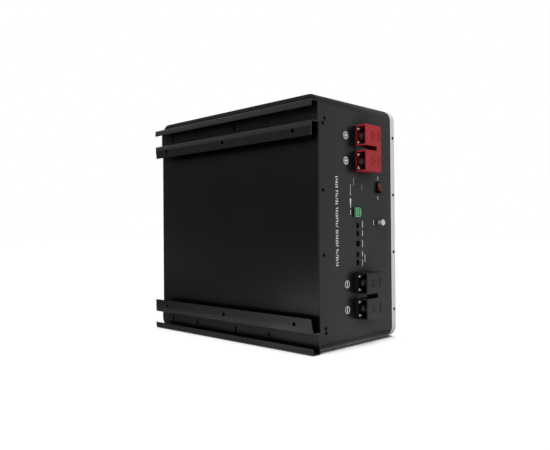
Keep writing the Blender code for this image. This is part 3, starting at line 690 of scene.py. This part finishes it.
def make_bracket(row, side):
    """One bent strip: a short lip, the flange, the web, the other flange and the hook."""
    node = f"{row}_wall_bracket"
    low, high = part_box(node)
    half_sheet = SHEET / 2
    outer = high.z if side > 0 else low.z
    inner = BRACKET_MID_Z + side * BRACKET_INNER
    web_y, lip_y = low.y + half_sheet, high.y - half_sheet
    crease = inner - side * HOOK_DROP
    line = [
        (lip_y, outer - side * SHORT_LIP), (lip_y - LIP_SPRING, outer - side * half_sheet),
        (web_y, outer - side * half_sheet), (web_y, inner - side * half_sheet),
        (lip_y - LIP_SPRING, inner - side * half_sheet), (lip_y, crease),
        (lip_y, crease - side * HOOK_TIP),
    ]
    outline = strip_outline(line, BEND_RADIUS, SHEET)
    strip = hull([[(x, y, z) for y, z in outline] for x in (low.x, high.x)])

    lip_range = about(lip_y, 6 * MM)
    web_range = (web_y - 3 * MM, web_y + 6 * MM)
    hole_z = crease - side * HOOK_HOLE_DROP
    cutters = [
        moved(disc(HOOK_HOLE_RADIUS, *lip_range, 28), TO_WALL, (x, 0, hole_z)) for x in HOOK_HOLES_X
    ]
    if side < 0:
        corner_range = (low.y - MM, high.y - LIP_SPRING - SHEET - 0.5 * MM)
        cutters.append(web_corner(outer, side, corner_range))
    tip, beyond = crease - side * (HOOK_TIP + 2 * MM), high.x + 2 * MM
    slant = [(high.x, inner), (beyond, inner), (beyond, tip), (high.x - HOOK_SLANT, tip)]
    cutters.append(xz_prism([(side * x, z) for x, z in slant], lip_range))
    cutters += [wall_slot(x, (outer + inner) / 2, web_range) for x in WEB_SLOTS_X]
    piece(
        f"{row}_bracket_strip", boolean(strip, cutters), BRACKET_PAINT, node,
        smooth_angle=25,
    )


def make_brackets():
    make_bracket("upper", 1)
    make_bracket("lower", -1)
    for row in ("upper", "lower"):
        for n in (1, 2):
            node = f"{row}_bracket_screw_{n}"
            middle, high = centre_of(node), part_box(node)[1]
            seat = (middle.x, high.y - 2.6 * MM, middle.z)
            placed(f"{row}_bracket_bolt_{n}", BRACKET_SCREW, TO_WALL, seat, node)


# Power terminals ---------------

HOOD_WALL = 2.8 * MM  # above the base
HOOD_SKIRT = 2 * MM
HOOD_ROUND = 4.5 * MM
HOOD_HEIGHT = 38.5 * MM
HOOD_LENGTH = 50 * MM
SLOT_DEPTH = 33 * MM
BASE_THICK = 3 * MM
BASE_FAR_Y = -32 * MM
BASE_SLOT_Y = -19 * MM
BASE_SLOT_HALF = 4.25 * MM
HINGE_Y = -38.8 * MM
HINGE_OUT = 4 * MM
LUG_Z = (30 * MM, 34 * MM)
ARM_Z = (34.4 * MM, 38.4 * MM)
PLAY = 0.4 * MM  # between the hinge's arms and its lugs
OFFSET = 0.05 * MM  # keeps faces that are joined or cut from lying in one plane


def hinge_rod(middle_z, side, z_range, radius):
    ends = [side_point(HINGE_Y, middle_z + side * z, HINGE_OUT) for z in z_range]
    return rod(*ends, radius)


def make_base(pole, middle_z, material):
    node = f"{pole}_terminal_base"
    low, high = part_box(node)
    face = GAP + BASE_THICK
    base = side_box((BASE_FAR_Y, high.y), (low.z, high.z), (GAP, face), 0.6 * MM)
    joins, cutters = [], []
    bolts = [centre_of(f"{pole}_terminal_bolt_{n}") for n in (1, 2)]
    boss_top = 6.4 * MM
    for bolt in bolts:
        profile = [(0, 0), (TERMINAL_BOSS, 0), (TERMINAL_BOSS, boss_top - PLAY)]
        boss = turned([*profile, (TERMINAL_BOSS - PLAY, boss_top), (0, boss_top)])
        joins.append(moved(boss, TO_SIDE, side_point(bolt.y, bolt.z)))
        cutters.append(side_hole(bolt.y, bolt.z, 4.3 * MM, (-6 * MM, 12 * MM)))
    for side in (1, -1):
        lug_z = [middle_z + side * z for z in LUG_Z]
        lug_y = (HINGE_Y - 2.7 * MM, BASE_FAR_Y + 2 * MM)
        joins.append(side_box(lug_y, lug_z, (GAP, 7 * MM), 0.5 * MM))
        cutters.append(hinge_rod(middle_z, side, (LUG_Z[0] - MM, LUG_Z[1] + MM), 1.7 * MM))
    slot_y = (BASE_SLOT_Y, high.y + 3 * MM)
    cutters.append(side_box(slot_y, about(middle_z, BASE_SLOT_HALF), (-MM, 9 * MM), 0.8 * MM))
    block = boolean(boolean(base, joins, "UNION"), cutters)
    piece(f"{pole}_block", block, material, node)
    for n in range(1, 5):
        screw = centre_of(f"{pole}_base_screw_{n}")
        turn = TO_SIDE @ Matrix.Rotation(0.4 * n, 3, "Z")
        seat = side_point(screw.y, screw.z, face + GAP)
        placed(f"{pole}_block_screw_{n}", BASE_SCREW, turn, seat, f"{pole}_base_screw_{n}")
    for n, bolt in enumerate(bolts, 1):
        turn = TO_SIDE @ Matrix.Rotation(0.3 * n, 3, "Z")
        seat = side_point(bolt.y, bolt.z, 6.6 * MM)
        placed(f"{pole}_stud_bolt_{n}", TERMINAL_BOLT, turn, seat, f"{pole}_terminal_bolt_{n}")


def triangle_ring(size, width, low, high):
    """A raised outline of a triangle that points along local x, round-cornered."""
    radius = 2.2 * MM
    outer = []
    for pointing in (0, 120, 240):
        toward = math.radians(pointing)
        centre = Vector((math.cos(toward), math.sin(toward))) * (size - 2 * radius)
        for a in sweep(pointing - 60, pointing + 60, 6):
            outer.append(centre + Vector((math.cos(a), math.sin(a))) * radius)
    inner = [p * ((size - 2 * width) / size) for p in outer]
    levels = ((outer, low), (outer, high), (inner, high), (inner, low))
    return hull([[(*p, height) for p in points] for points, height in levels], closed=True)


def make_hood(pole, middle_z, material):
    """Both hoods of a pole in one moulding, joined by a bridge at the hinge end."""
    node = f"{pole}_terminal_cover"
    low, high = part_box(node)
    top = SIDE_X - low.x
    near_y = high.y
    far_y = near_y - HOOD_LENGTH
    half = (high.z - low.z) / 2
    slot_half = half - HOOD_HEIGHT
    outline = [
        (top - HOOD_ROUND * (1 - math.cos(a)), far_y + HOOD_ROUND * (1 - math.sin(a)))
        for a in sweep(0, 90, 8)
    ]
    outline += [(0.8 * MM, far_y), (0.8 * MM, near_y), (top, near_y)]
    outer = hull([[side_point(y, z, out) for out, y in outline] for z in (low.z, high.z)])

    inside_far = far_y + HOOD_SKIRT
    ceiling = top - HOOD_WALL
    slot_z = about(middle_z, slot_half)
    bridge_z = about(middle_z, slot_half + HOOD_WALL + 0.5 * MM)
    base_z = about(middle_z, half - HOOD_SKIRT - 0.1 * MM)
    base_top = BASE_THICK + 0.8 * MM
    cutters = [
        side_box((near_y - SLOT_DEPTH, near_y + MM), slot_z, (-MM, top + MM)),
        side_box((inside_far, near_y - SLOT_DEPTH - HOOD_WALL), bridge_z, (-MM, ceiling)),
        side_box((inside_far + 0.1 * MM, near_y + MM), base_z, (-MM, base_top)),
    ]
    joins = []
    for side in (1, -1):
        inside_z = [middle_z + side * z for z in (slot_half + HOOD_WALL, half - HOOD_WALL)]
        inside_y = (inside_far, near_y + 5 * MM)
        cutters.append(side_box(inside_y, inside_z, (-5 * MM, ceiling), 0.8 * MM))
        lug_z = [middle_z + side * z for z in (LUG_Z[0] - PLAY, LUG_Z[1] + PLAY - OFFSET)]
        cutters.append(side_box((far_y - MM, inside_far + MM), lug_z, (-MM, 8 * MM)))

        arm_z = [middle_z + side * z for z in ARM_Z]
        eye_z = (ARM_Z[0] + OFFSET, ARM_Z[1] - OFFSET)
        joins.append(side_box((HINGE_Y, far_y + MM), arm_z, (1.5 * MM, 6.6 * MM - OFFSET)))
        joins.append(hinge_rod(middle_z, side, eye_z, 2.6 * MM))
        joins.append(hinge_rod(middle_z, side, (ARM_Z[0] + MM, LUG_Z[0] + PLAY), 1.4 * MM))
        hood_z = middle_z + side * (slot_half + HOOD_HEIGHT / 2)
        mark = triangle_ring(10 * MM, 0.9 * MM, -0.5 * MM, 0.5 * MM)
        turn = TO_SIDE @ Matrix.Rotation(math.pi, 3, "Z")
        joins.append(moved(mark, turn, side_point(near_y - 20.5 * MM, hood_z, top)))
        for i in range(3):
            rib_y = far_y + (6 + 2.8 * i) * MM
            rib_out = (top - 0.5 * MM, top + 0.35 * MM)
            joins.append(
                side_box((rib_y, rib_y + 1.2 * MM), about(hood_z, 9 * MM), rib_out, 0.25 * MM)
            )
    hood = boolean(boolean(boolean(outer, [], bevel=1.3 * MM), cutters), joins, "UNION")
    piece(f"{pole}_hood", hood, material, node, f"{pole}_cover")


def make_terminals():
    finishes = ((RED_PLASTIC, RED_BASE, "red_plastic"), (BLACK_PLASTIC, BLACK_BASE, "black_plastic"))
    for pole, (hood, base, slot) in zip(POLES, finishes):
        middle_z = centre_of(f"{pole}_terminal_base").z
        make_base(pole, middle_z, base)
        make_hood(pole, middle_z, hood)


# Small devices -----------------

ROCKER_TILT = math.radians(13)
PIVOT_OUT = -1 * MM


def make_switch():
    bezel = block(SWITCH_AT, (7.5, 10.5), (0.3, 2.7), 0.9, 3)
    neck = block(SWITCH_AT, (6.4, 9.4), (-14, 1))
    well = block(SWITCH_AT, (5.2, 8.8), (-9, 5))
    body = boolean(boolean(bezel, [neck], "UNION"), [well])
    piece("switch_body", body, MATT_BLACK, "power_switch_body")

    # Millimetres out from the terminal side and up from the pivot; mirrored for the top.
    lower = [(-5, 0), (-4, -5), (0.4, -7.9), (5.2, -7.6), (6.4, -7.3), (6.9, -6.9), (6.5, -5.8),
             (5.9, -4.3), (5.3, -2.2), (5, 0)]
    outline = lower + [(out, -v) for out, v in reversed(lower[1:-1])]
    ends = [
        [(out * MM - PIVOT_OUT, half_width, v * MM) for out, v in outline]
        for half_width in (-4.8 * MM, 4.8 * MM)
    ]
    paddle = boolean(hull(ends), [], bevel=0.35 * MM)
    bar = box((5.8 * MM, -0.4 * MM, 4.4 * MM), (6.85 * MM, 0.4 * MM, 6.5 * MM), 0.1 * MM)
    ring = flat_ring(1.3 * MM, 0.9 * MM, 0, 0.6 * MM, 24)
    ring = moved(ring, Matrix.Rotation(math.pi / 2, 3, "Y"), (6.25 * MM, 0, -5.6 * MM))
    turn = Matrix.Rotation(ROCKER_TILT, 3, "Y") @ Matrix(((-1, 0, 0), (0, 1, 0), (0, 0, 1)))
    pivot = side_point(SWITCH_AT.y, SWITCH_AT.z, PIVOT_OUT)
    piece(
        "rocker_paddle", moved(paddle, turn, pivot), RED_GLOSS,
        "power_switch_rocker", "rocker", smooth_angle=40,
    )
    marks = moved(combined([bar, ring]), turn, pivot)
    piece("rocker_marks", marks, PRINT_WHITE, body="rocker")


def scaled(profile):
    return [(radius * MM, height * MM) for radius, height in profile]


def make_button():
    at = side_point(BUTTON_AT.y, BUTTON_AT.z)
    bezel = turned(scaled([(0, -11), (4.1, -11), (4.1, 0.3), (5.2, 0.3), (5.2, 1), (4.8, 1.5),
                           (3.8, 1.6), (3.4, 1.3), (3.4, -6), (0, -6)]))
    cap = turned(scaled([(0, -3), (2.9, -3), (2.9, 1.4), (2.7, 1.8), (2.3, 1.9), (1.5, 1.8),
                         (0, 1.75)]))
    piece("button_bezel", moved(bezel, TO_SIDE, at), MATT_BLACK, "wake_button_body")
    piece(
        "button_cap", moved(cap, TO_SIDE, at), CAP_BLACK, "wake_button_cap",
        "button",
    )


CONTACTS_PER_JACK = 8
CONTACT_PITCH = 1.02 * MM


def make_ports():
    for n, node in enumerate(PORT_NODES, 1):
        jacks = PORTS[2 * n - 2 : 2 * n]
        cutters, pins = [], []
        for z in jacks:
            cutters += port_cutters(z, (-14 * MM, 4 * MM), -0.1 * MM)
            for i in range(CONTACTS_PER_JACK):
                pin_z = z + (i - (CONTACTS_PER_JACK - 1) / 2) * CONTACT_PITCH
                start = side_point(PORT_Y + 4.6 * MM, pin_z, -6.2 * MM)
                end = side_point(PORT_Y + 1.2 * MM, pin_z, -11.5 * MM)
                pins.append(rod(start, end, 0.22 * MM, 8))
        block = boolean(box(*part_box(node), 0.3 * MM), cutters)
        piece(f"jack_block_{n}", block, BLACK_PLASTIC, node)
        piece(f"jack_contacts_{n}", combined(pins), GOLD)


WIRES = 4
WIRE_PITCH = 3.81 * MM


def make_dry_contacts():
    y, z = SOCKET_AT.y, SOCKET_AT.z
    well = block(SOCKET_AT, (3.4, 8), (-11, 3))
    socket = boolean(box(*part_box("dry_contact_socket"), 0.3 * MM), [well])
    piece("contact_socket", socket, GREEN_PLASTIC, "dry_contact_socket")

    low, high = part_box("dry_contact_plug")
    top = SIDE_X - low.x
    plug = side_box((low.y, high.y), (low.z, high.z), (1.3 * MM, top), 0.5 * MM)
    joins, cutters, screws, clamps = [block(SOCKET_AT, (3.1, 7.7), (-9, 2), 0.3)], [], [], []
    for i in range(WIRES):
        row_z = z + (i - (WIRES - 1) / 2) * WIRE_PITCH
        wire = side_point(y - 3 * MM, row_z)
        wire_hole = block(wire, (1.4, 1.4), (2.4, top / MM + 1), 0.2)
        clamps.append(block(wire, (1.3, 1.3), (1.8, 2.5)))
        at = side_point(y + 2.4 * MM, row_z)
        cutters += [wire_hole, moved(disc(1.4 * MM, 2.2 * MM, 8 * MM, 20), TO_SIDE, at)]
        head = turned(scaled([(0, 2), (1.3, 2), (1.3, 2.9), (1.1, 3.1), (0, 3.1)]), 20)
        notch = box((-1.5 * MM, -0.2 * MM, 2.7 * MM), (1.5 * MM, 0.2 * MM, 6 * MM))
        turn = TO_SIDE @ Matrix.Rotation(0.5 * i + 0.3, 3, "Z")
        screws.append(moved(boolean(head, [notch]), turn, at))
        rib_y = (high.y - MM, high.y + 0.6 * MM)
        joins.append(side_box(rib_y, about(row_z, 0.7 * MM), (1.5 * MM, 4.4 * MM), 0.2 * MM))
    for reach, half_z in ((3.4 * MM, 6 * MM), (2 * MM, 7.9 * MM)):
        rim_y = (low.y - reach, low.y + MM)
        joins.append(side_box(rim_y, about(z, half_z), (1.4 * MM, 5.2 * MM), 0.5 * MM))
    plug = boolean(boolean(plug, joins, "UNION"), cutters)
    piece("contact_plug", plug, GREEN_PLASTIC, "dry_contact_plug", "plug")
    # Screws and clamps sit deep in their holes, in near-black metal as painted shade.
    piece("contact_plug_screws", combined(screws), HOLE_SHADE_METAL, body="plug")
    piece("contact_plug_clamps", combined(clamps), HOLE_SHADE_METAL, body="plug")


def make_ground():
    post = turned(scaled([(0, 0.3), (3.7, 0.3), (3.7, 7.9), (3.3, 8.3), (0, 8.3)]))
    post = boolean(post, [disc(2.9 * MM, -9 * MM, MM)], "UNION")
    post = boolean(post, [disc(2.1 * MM, -3 * MM, 9 * MM)])
    at, seat = (side_point(GROUND_AT.y, GROUND_AT.z, out) for out in (0, 8.6 * MM))
    piece("ground_stud", moved(post, TO_SIDE, at), BRASS, "ground_post")
    turn = TO_SIDE @ Matrix.Rotation(math.pi / 6, 3, "Z")
    placed("ground_stud_screw", GROUND_BOLT, turn, seat, "ground_screw")
    thread = disc(1.8 * MM, -3 * MM, 0.2 * MM)
    piece("ground_stud_thread", moved(thread, TO_SIDE, seat), ZINC)


def make_lights():
    low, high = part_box("status_light_pipe")
    plate = box((low.x + 3.4 * MM, low.y, low.z), high, 0.4 * MM)
    tip = [(0, -4), (1.5, -4), (1.5, -1.8), (1.1, -1.4), (0, -1.2)]
    pins = [moved(turned(scaled(tip), 24), TO_SIDE, side_point(y, z)) for y, z in LIGHTS_AT]
    lens = boolean(plate, pins, "UNION")
    piece("status_lens", lens, LENS, "status_light_pipe")


# Print -------------------------

INK = (-0.05 * MM, 0.06 * MM)  # from just inside the case to the print's face
LINE_Y = 69.5  # millimetres, as the rest of the print's places
STROKE_GROUPS = ((308.6, 286.4), (283.6, 256.6), (253.2, 216.6), (213.4, 182.4), (179.4, 147.6))
STROKES = (  # thickness, shift across the line, length
    (1.2, 0, 7.4), (1.1, 1.7, 4.0), (1.3, -1.8, 4.2), (1.1, 0, 7.4), (1.2, 0.4, 5.4),
)
DASHES = (  # beside the lights, the ports and the other devices: y, z, length
    (29.5, 294.5, 2), (29.5, 290.5, 2), (29.5, 286.5, 3), (29.5, 279.2, 7.4),
    (29.5, 244.8, 8.4), (-58.2, 311.6, 8.6), (-57.7, 273.8, 7.2), (-42.8, 226.1, 9.2),
    (-6.5, 222.7, 13), (-6.4, 206.2, 10.6), (-6.2, 187.1, 13.4), (-6, 168.3, 10),
    (-5.7, 151.6, 12.8), (-13.6, 159.9, 14.8),
)
FAINT_DASHES = ((19.8, 300.7, 14.5), (-5.7, 292.3, 8.4))
POLARITY_MARKS = ((42, 383.8, True), (42, 337.9, True), (41, 114.6, False), (41, 68.4, False))


def ink_bar(y, z, length, width=1.5):
    """A plain printed bar on the terminal side, its length along Z, in millimetres."""
    return side_box(about(y * MM, width / 2 * MM), about(z * MM, length / 2 * MM), INK)


def polarity_mark(y, z, plus):
    """A ring with a plain cross or bar in it."""
    ring = moved(flat_ring(6.9 * MM, 5.5 * MM, *INK, 48), TO_SIDE, side_point(y * MM, z * MM))
    bar = ink_bar(y, z, 8, 2.3)
    if plus:
        bar = boolean(bar, [ink_bar(y, z, 2.3, 8)], "UNION")
    return [ring, bar]


def stroke_line():
    """A column of groups of plain strokes, in the place of a line of wording."""
    count, found = 0, []
    for top, bottom in STROKE_GROUPS:
        pairs = round((top - bottom) / 4.6)
        pitch = (top - bottom) / pairs
        for i in range(pairs):
            start = top - pitch * (i + 0.08)
            for k in range(2):
                thickness, shift, length = STROKES[(2 * count + k * (1 + count % 2)) % len(STROKES)]
                found.append(ink_bar(LINE_Y + shift, start - 0.85 - 1.35 * k, thickness, length))
            count += 1
    return found


def make_print():
    """Polarity symbols, and plain bars in place of all wording."""
    marks = [part for mark in POLARITY_MARKS for part in polarity_mark(*mark)]
    marks += stroke_line()
    marks += [ink_bar(*dash) for dash in DASHES]
    wedge = prism(scaled([(-2.4, 0), (-0.4, 17), (0.4, 17), (2.4, 0)]), *INK)
    marks.append(moved(wedge, TO_SIDE, side_point(29.5 * MM, MID_Z + 44.6 * MM)))
    piece("side_print", combined(marks), PRINT_WHITE)
    faint = [ink_bar(*dash) for dash in FAINT_DASHES]
    piece("side_print_faint", combined(faint), PRINT_GREY)


# Carried-over CAD nodes --------

NODE_FINISHES = {  # by the start of a node's name; the first that fits counts
    "cell_link": COPPER, "cell_negative": COPPER, "positive_lead": COPPER,
    "negative_lead": COPPER, "cell_": CELL_FILM, "cover_collar": CASE_PAINT,
    "front_gasket": RUBBER_BLACK, "module_tray": ZINC, "bms_board": BOARD,
    "interface_board": BOARD, "bms_heatsink": ALUMINIUM,
}


def dress_nodes():
    """Finishes for the CAD nodes that are shown as they are."""
    for name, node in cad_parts.items():
        if node.hide_render:
            continue
        for start, material in NODE_FINISHES.items():
            if name.startswith(start):
                node.data.materials.clear()
                node.data.materials.append(material)
                break


# Stage -------------------------

DARK_SIDE = Vector((1, 0.6, 0)).normalized()  # what the back panel mirrors
ROOM_LIGHT = 0.88
ROOM_DARK = 0.13
FLOOR_GLOW = 1.25
FLOOR_FADE = (  # along X: what the panels mirror of the floor, over FLOOR_GLOW
    (-0.3, 0.66), (-0.15, 0.74), (0.03, 0.98), (0.25, 0.58), (0.4, 0.38), (0.66, 0.19), (1.0, 0.16),
)
MIRRORED_EYE = Vector((0.418, 0.892, 0))  # the camera, mirrored in the terminal side
CONTACT_REACH = 50 * MM
CONTACT_SHADE = 0.3


def front_dimming(tree, direction):
    """1, falling off for what the terminal side mirrors near the front cover."""
    axes = shader_node(tree, "SeparateXYZ", {0: direction})
    front = smooth_ramp(tree, axes.outputs["X"], -0.6, -0.535, 0.98, 0.48)
    elsewhere = smooth_ramp(tree, axes.outputs["Y"], -0.4, -0.2, 0, 1)
    return math_node(tree, "MAXIMUM", front, elsewhere)


def seen_floor(paper):
    """What the camera sees: paper, evenly lit but for a faint shadow where the pack stands."""
    tree = paper.tree
    hollow_shade = shader_node(tree, "AmbientOcclusion", {"Distance": CONTACT_REACH}, samples=8)
    closed_in = math_node(tree, "SUBTRACT", 1.0, hollow_shade.outputs["AO"])
    closed_in = math_node(tree, "MULTIPLY", closed_in, 2.0)
    shade = math_node(tree, "MULTIPLY", math_node(tree, "POWER", closed_in, 5.0), CONTACT_SHADE)
    glow = math_node(tree, "MULTIPLY", math_node(tree, "SUBTRACT", 1.0, shade), 1.06)
    even = shader_node(tree, "Emission", {"Strength": math_node(tree, "MAXIMUM", glow, 0.03)})
    reach = vector_node(tree, "LENGTH", paper.where).outputs["Value"]
    near = smooth_ramp(tree, reach, 0.35, 0.9, 0.9, 1.0)
    return mixed(tree, near, paper.shader.outputs["BSDF"], even.outputs["Emission"])


def mirrored_floor(paper):
    """What the panels mirror: paper that fades along X, with a shadow around the pack."""
    tree, where = paper.tree, paper.where
    fade = shader_node(tree, "ValToRGB")
    elements = fade.color_ramp.elements
    first, last = FLOOR_FADE[0][0], FLOOR_FADE[-1][0]
    for (distance, value), stop in zip(FLOOR_FADE, list(elements) + [None] * len(FLOOR_FADE)):
        share = (distance - first) / (last - first)
        stop = stop or elements.new(share)
        stop.position = share
        stop.color = (value, value, value * 1.02, 1)
    along_x = shader_node(tree, "SeparateXYZ", {0: where}).outputs["X"]
    along_x = math_node(tree, "SUBTRACT", along_x, first)
    feed(tree, fade.inputs["Fac"], math_node(tree, "DIVIDE", along_x, last - first))

    beside = vector_node(tree, "ABSOLUTE", where).outputs["Vector"]
    beside = vector_node(tree, "SUBTRACT", beside, (HALF_WIDTH, BACK_Y, 0)).outputs["Vector"]
    beside = vector_node(tree, "MAXIMUM", beside, (0, 0, 0)).outputs["Vector"]
    away = vector_node(tree, "LENGTH", beside).outputs["Value"]
    shadow = smooth_ramp(tree, away, 0, 0.025, 0.45, 1)
    sight = vector_node(tree, "SUBTRACT", where, MIRRORED_EYE).outputs["Vector"]
    heading = vector_node(tree, "NORMALIZE", sight).outputs["Vector"]
    level = math_node(tree, "MULTIPLY", shadow, front_dimming(tree, heading))
    strength = math_node(tree, "MULTIPLY", level, FLOOR_GLOW)
    inputs = {"Color": fade.outputs["Color"], "Strength": strength}
    return shader_node(tree, "Emission", inputs).outputs["Emission"]


def floor_paper():
    """White paper: to the camera nearly even, in reflections falling off to the far side."""
    paper = Finish("floor_paper", (0.9, 0.9, 0.9), 0.9, specular=0.05)
    paper.shade(paper.noise(2, 3.0), 0.99, 1.01)
    to_camera = paper.node("LightPath").outputs["Is Camera Ray"]
    surface = mixed(paper.tree, to_camera, mirrored_floor(paper), seen_floor(paper))
    feed(paper.tree, paper.tree.nodes["Material Output"].inputs["Surface"], surface)
    return paper.material


def make_stage():
    bm = bmesh.new()
    bmesh.ops.create_grid(bm, x_segments=1, y_segments=1, size=12)
    mesh = to_mesh(bm, "floor")
    mesh.materials.append(floor_paper())
    new_object("floor", mesh)


def make_camera():
    camera = bpy.data.cameras.new("camera")
    camera.lens = 38.480
    camera.sensor_width = 36
    holder = new_object("camera", camera)
    yaw, pitch, roll = (math.radians(v) for v in (44.214, 0.543, -0.465))
    flat = math.cos(pitch)
    forward = Vector((math.sin(yaw) * flat, -math.cos(yaw) * flat, math.sin(pitch)))
    right = forward.cross(Vector((0, 0, 1))).normalized()
    up = right.cross(forward)
    tilted_right = right * math.cos(roll) + up * math.sin(roll)
    tilted_up = up * math.cos(roll) - right * math.sin(roll)
    turn = Matrix((tilted_right, tilted_up, -forward)).transposed()
    place = Vector((-0.87535, BACK_Y + 0.77380, MID_Z - 0.01237))
    holder.matrix_world = Matrix.Translation(place) @ turn.to_4x4()
    bpy.context.scene.camera = holder


def make_light():
    light = bpy.data.lights.new("overhead", "AREA")
    light.size = 1.2
    light.energy = 22
    light.specular_factor = 0.35
    holder = new_object("overhead", light)
    place, aim = Vector((-0.3, 0.25, 2.2)), Vector((0, 0, 0.25))
    holder.location = place
    holder.rotation_mode = "QUATERNION"
    holder.rotation_quaternion = (aim - place).to_track_quat("-Z", "Y")


def make_world():
    """White to the camera; to everything else a pale room, dark towards (+X, +Y)."""
    world = bpy.data.worlds.new("studio")
    bpy.context.scene.world = world
    world.use_nodes = True
    tree = world.node_tree
    tree.nodes.clear()
    direction = shader_node(tree, "TexCoord").outputs["Generated"]
    towards = vector_node(tree, "DOT_PRODUCT", direction, DARK_SIDE).outputs["Value"]
    aside = smooth_ramp(tree, towards, 0.45, 0.8, 0, 1)
    height = shader_node(tree, "SeparateXYZ", {0: direction}).outputs["Z"]
    low = smooth_ramp(tree, height, 0.2, 0.38, 1, 0)
    above = smooth_ramp(tree, height, 0.2, 0.7, 1, 0.72)
    level = smooth_ramp(tree, math_node(tree, "MULTIPLY", aside, low), 0, 1, ROOM_LIGHT, ROOM_DARK)
    level = math_node(tree, "MULTIPLY", level, front_dimming(tree, direction))
    level = math_node(tree, "MULTIPLY", level, above)
    room = shader_node(tree, "Background", {"Strength": level}).outputs["Background"]
    white = shader_node(tree, "Background", {"Color": (1, 1, 1, 1)}).outputs["Background"]
    to_camera = shader_node(tree, "LightPath").outputs["Is Camera Ray"]
    shader_node(tree, "OutputWorld", {"Surface": mixed(tree, to_camera, room, white)})


make_sleeve()
make_panels()
make_small_screws()
make_brackets()
make_terminals()
make_switch()
make_button()
make_ports()
make_dry_contacts()
make_ground()
make_lights()
make_print()
dress_nodes()
make_stage()
make_camera()
make_world()
make_light()
bpy.context.scene.view_settings.view_transform = "Standard"
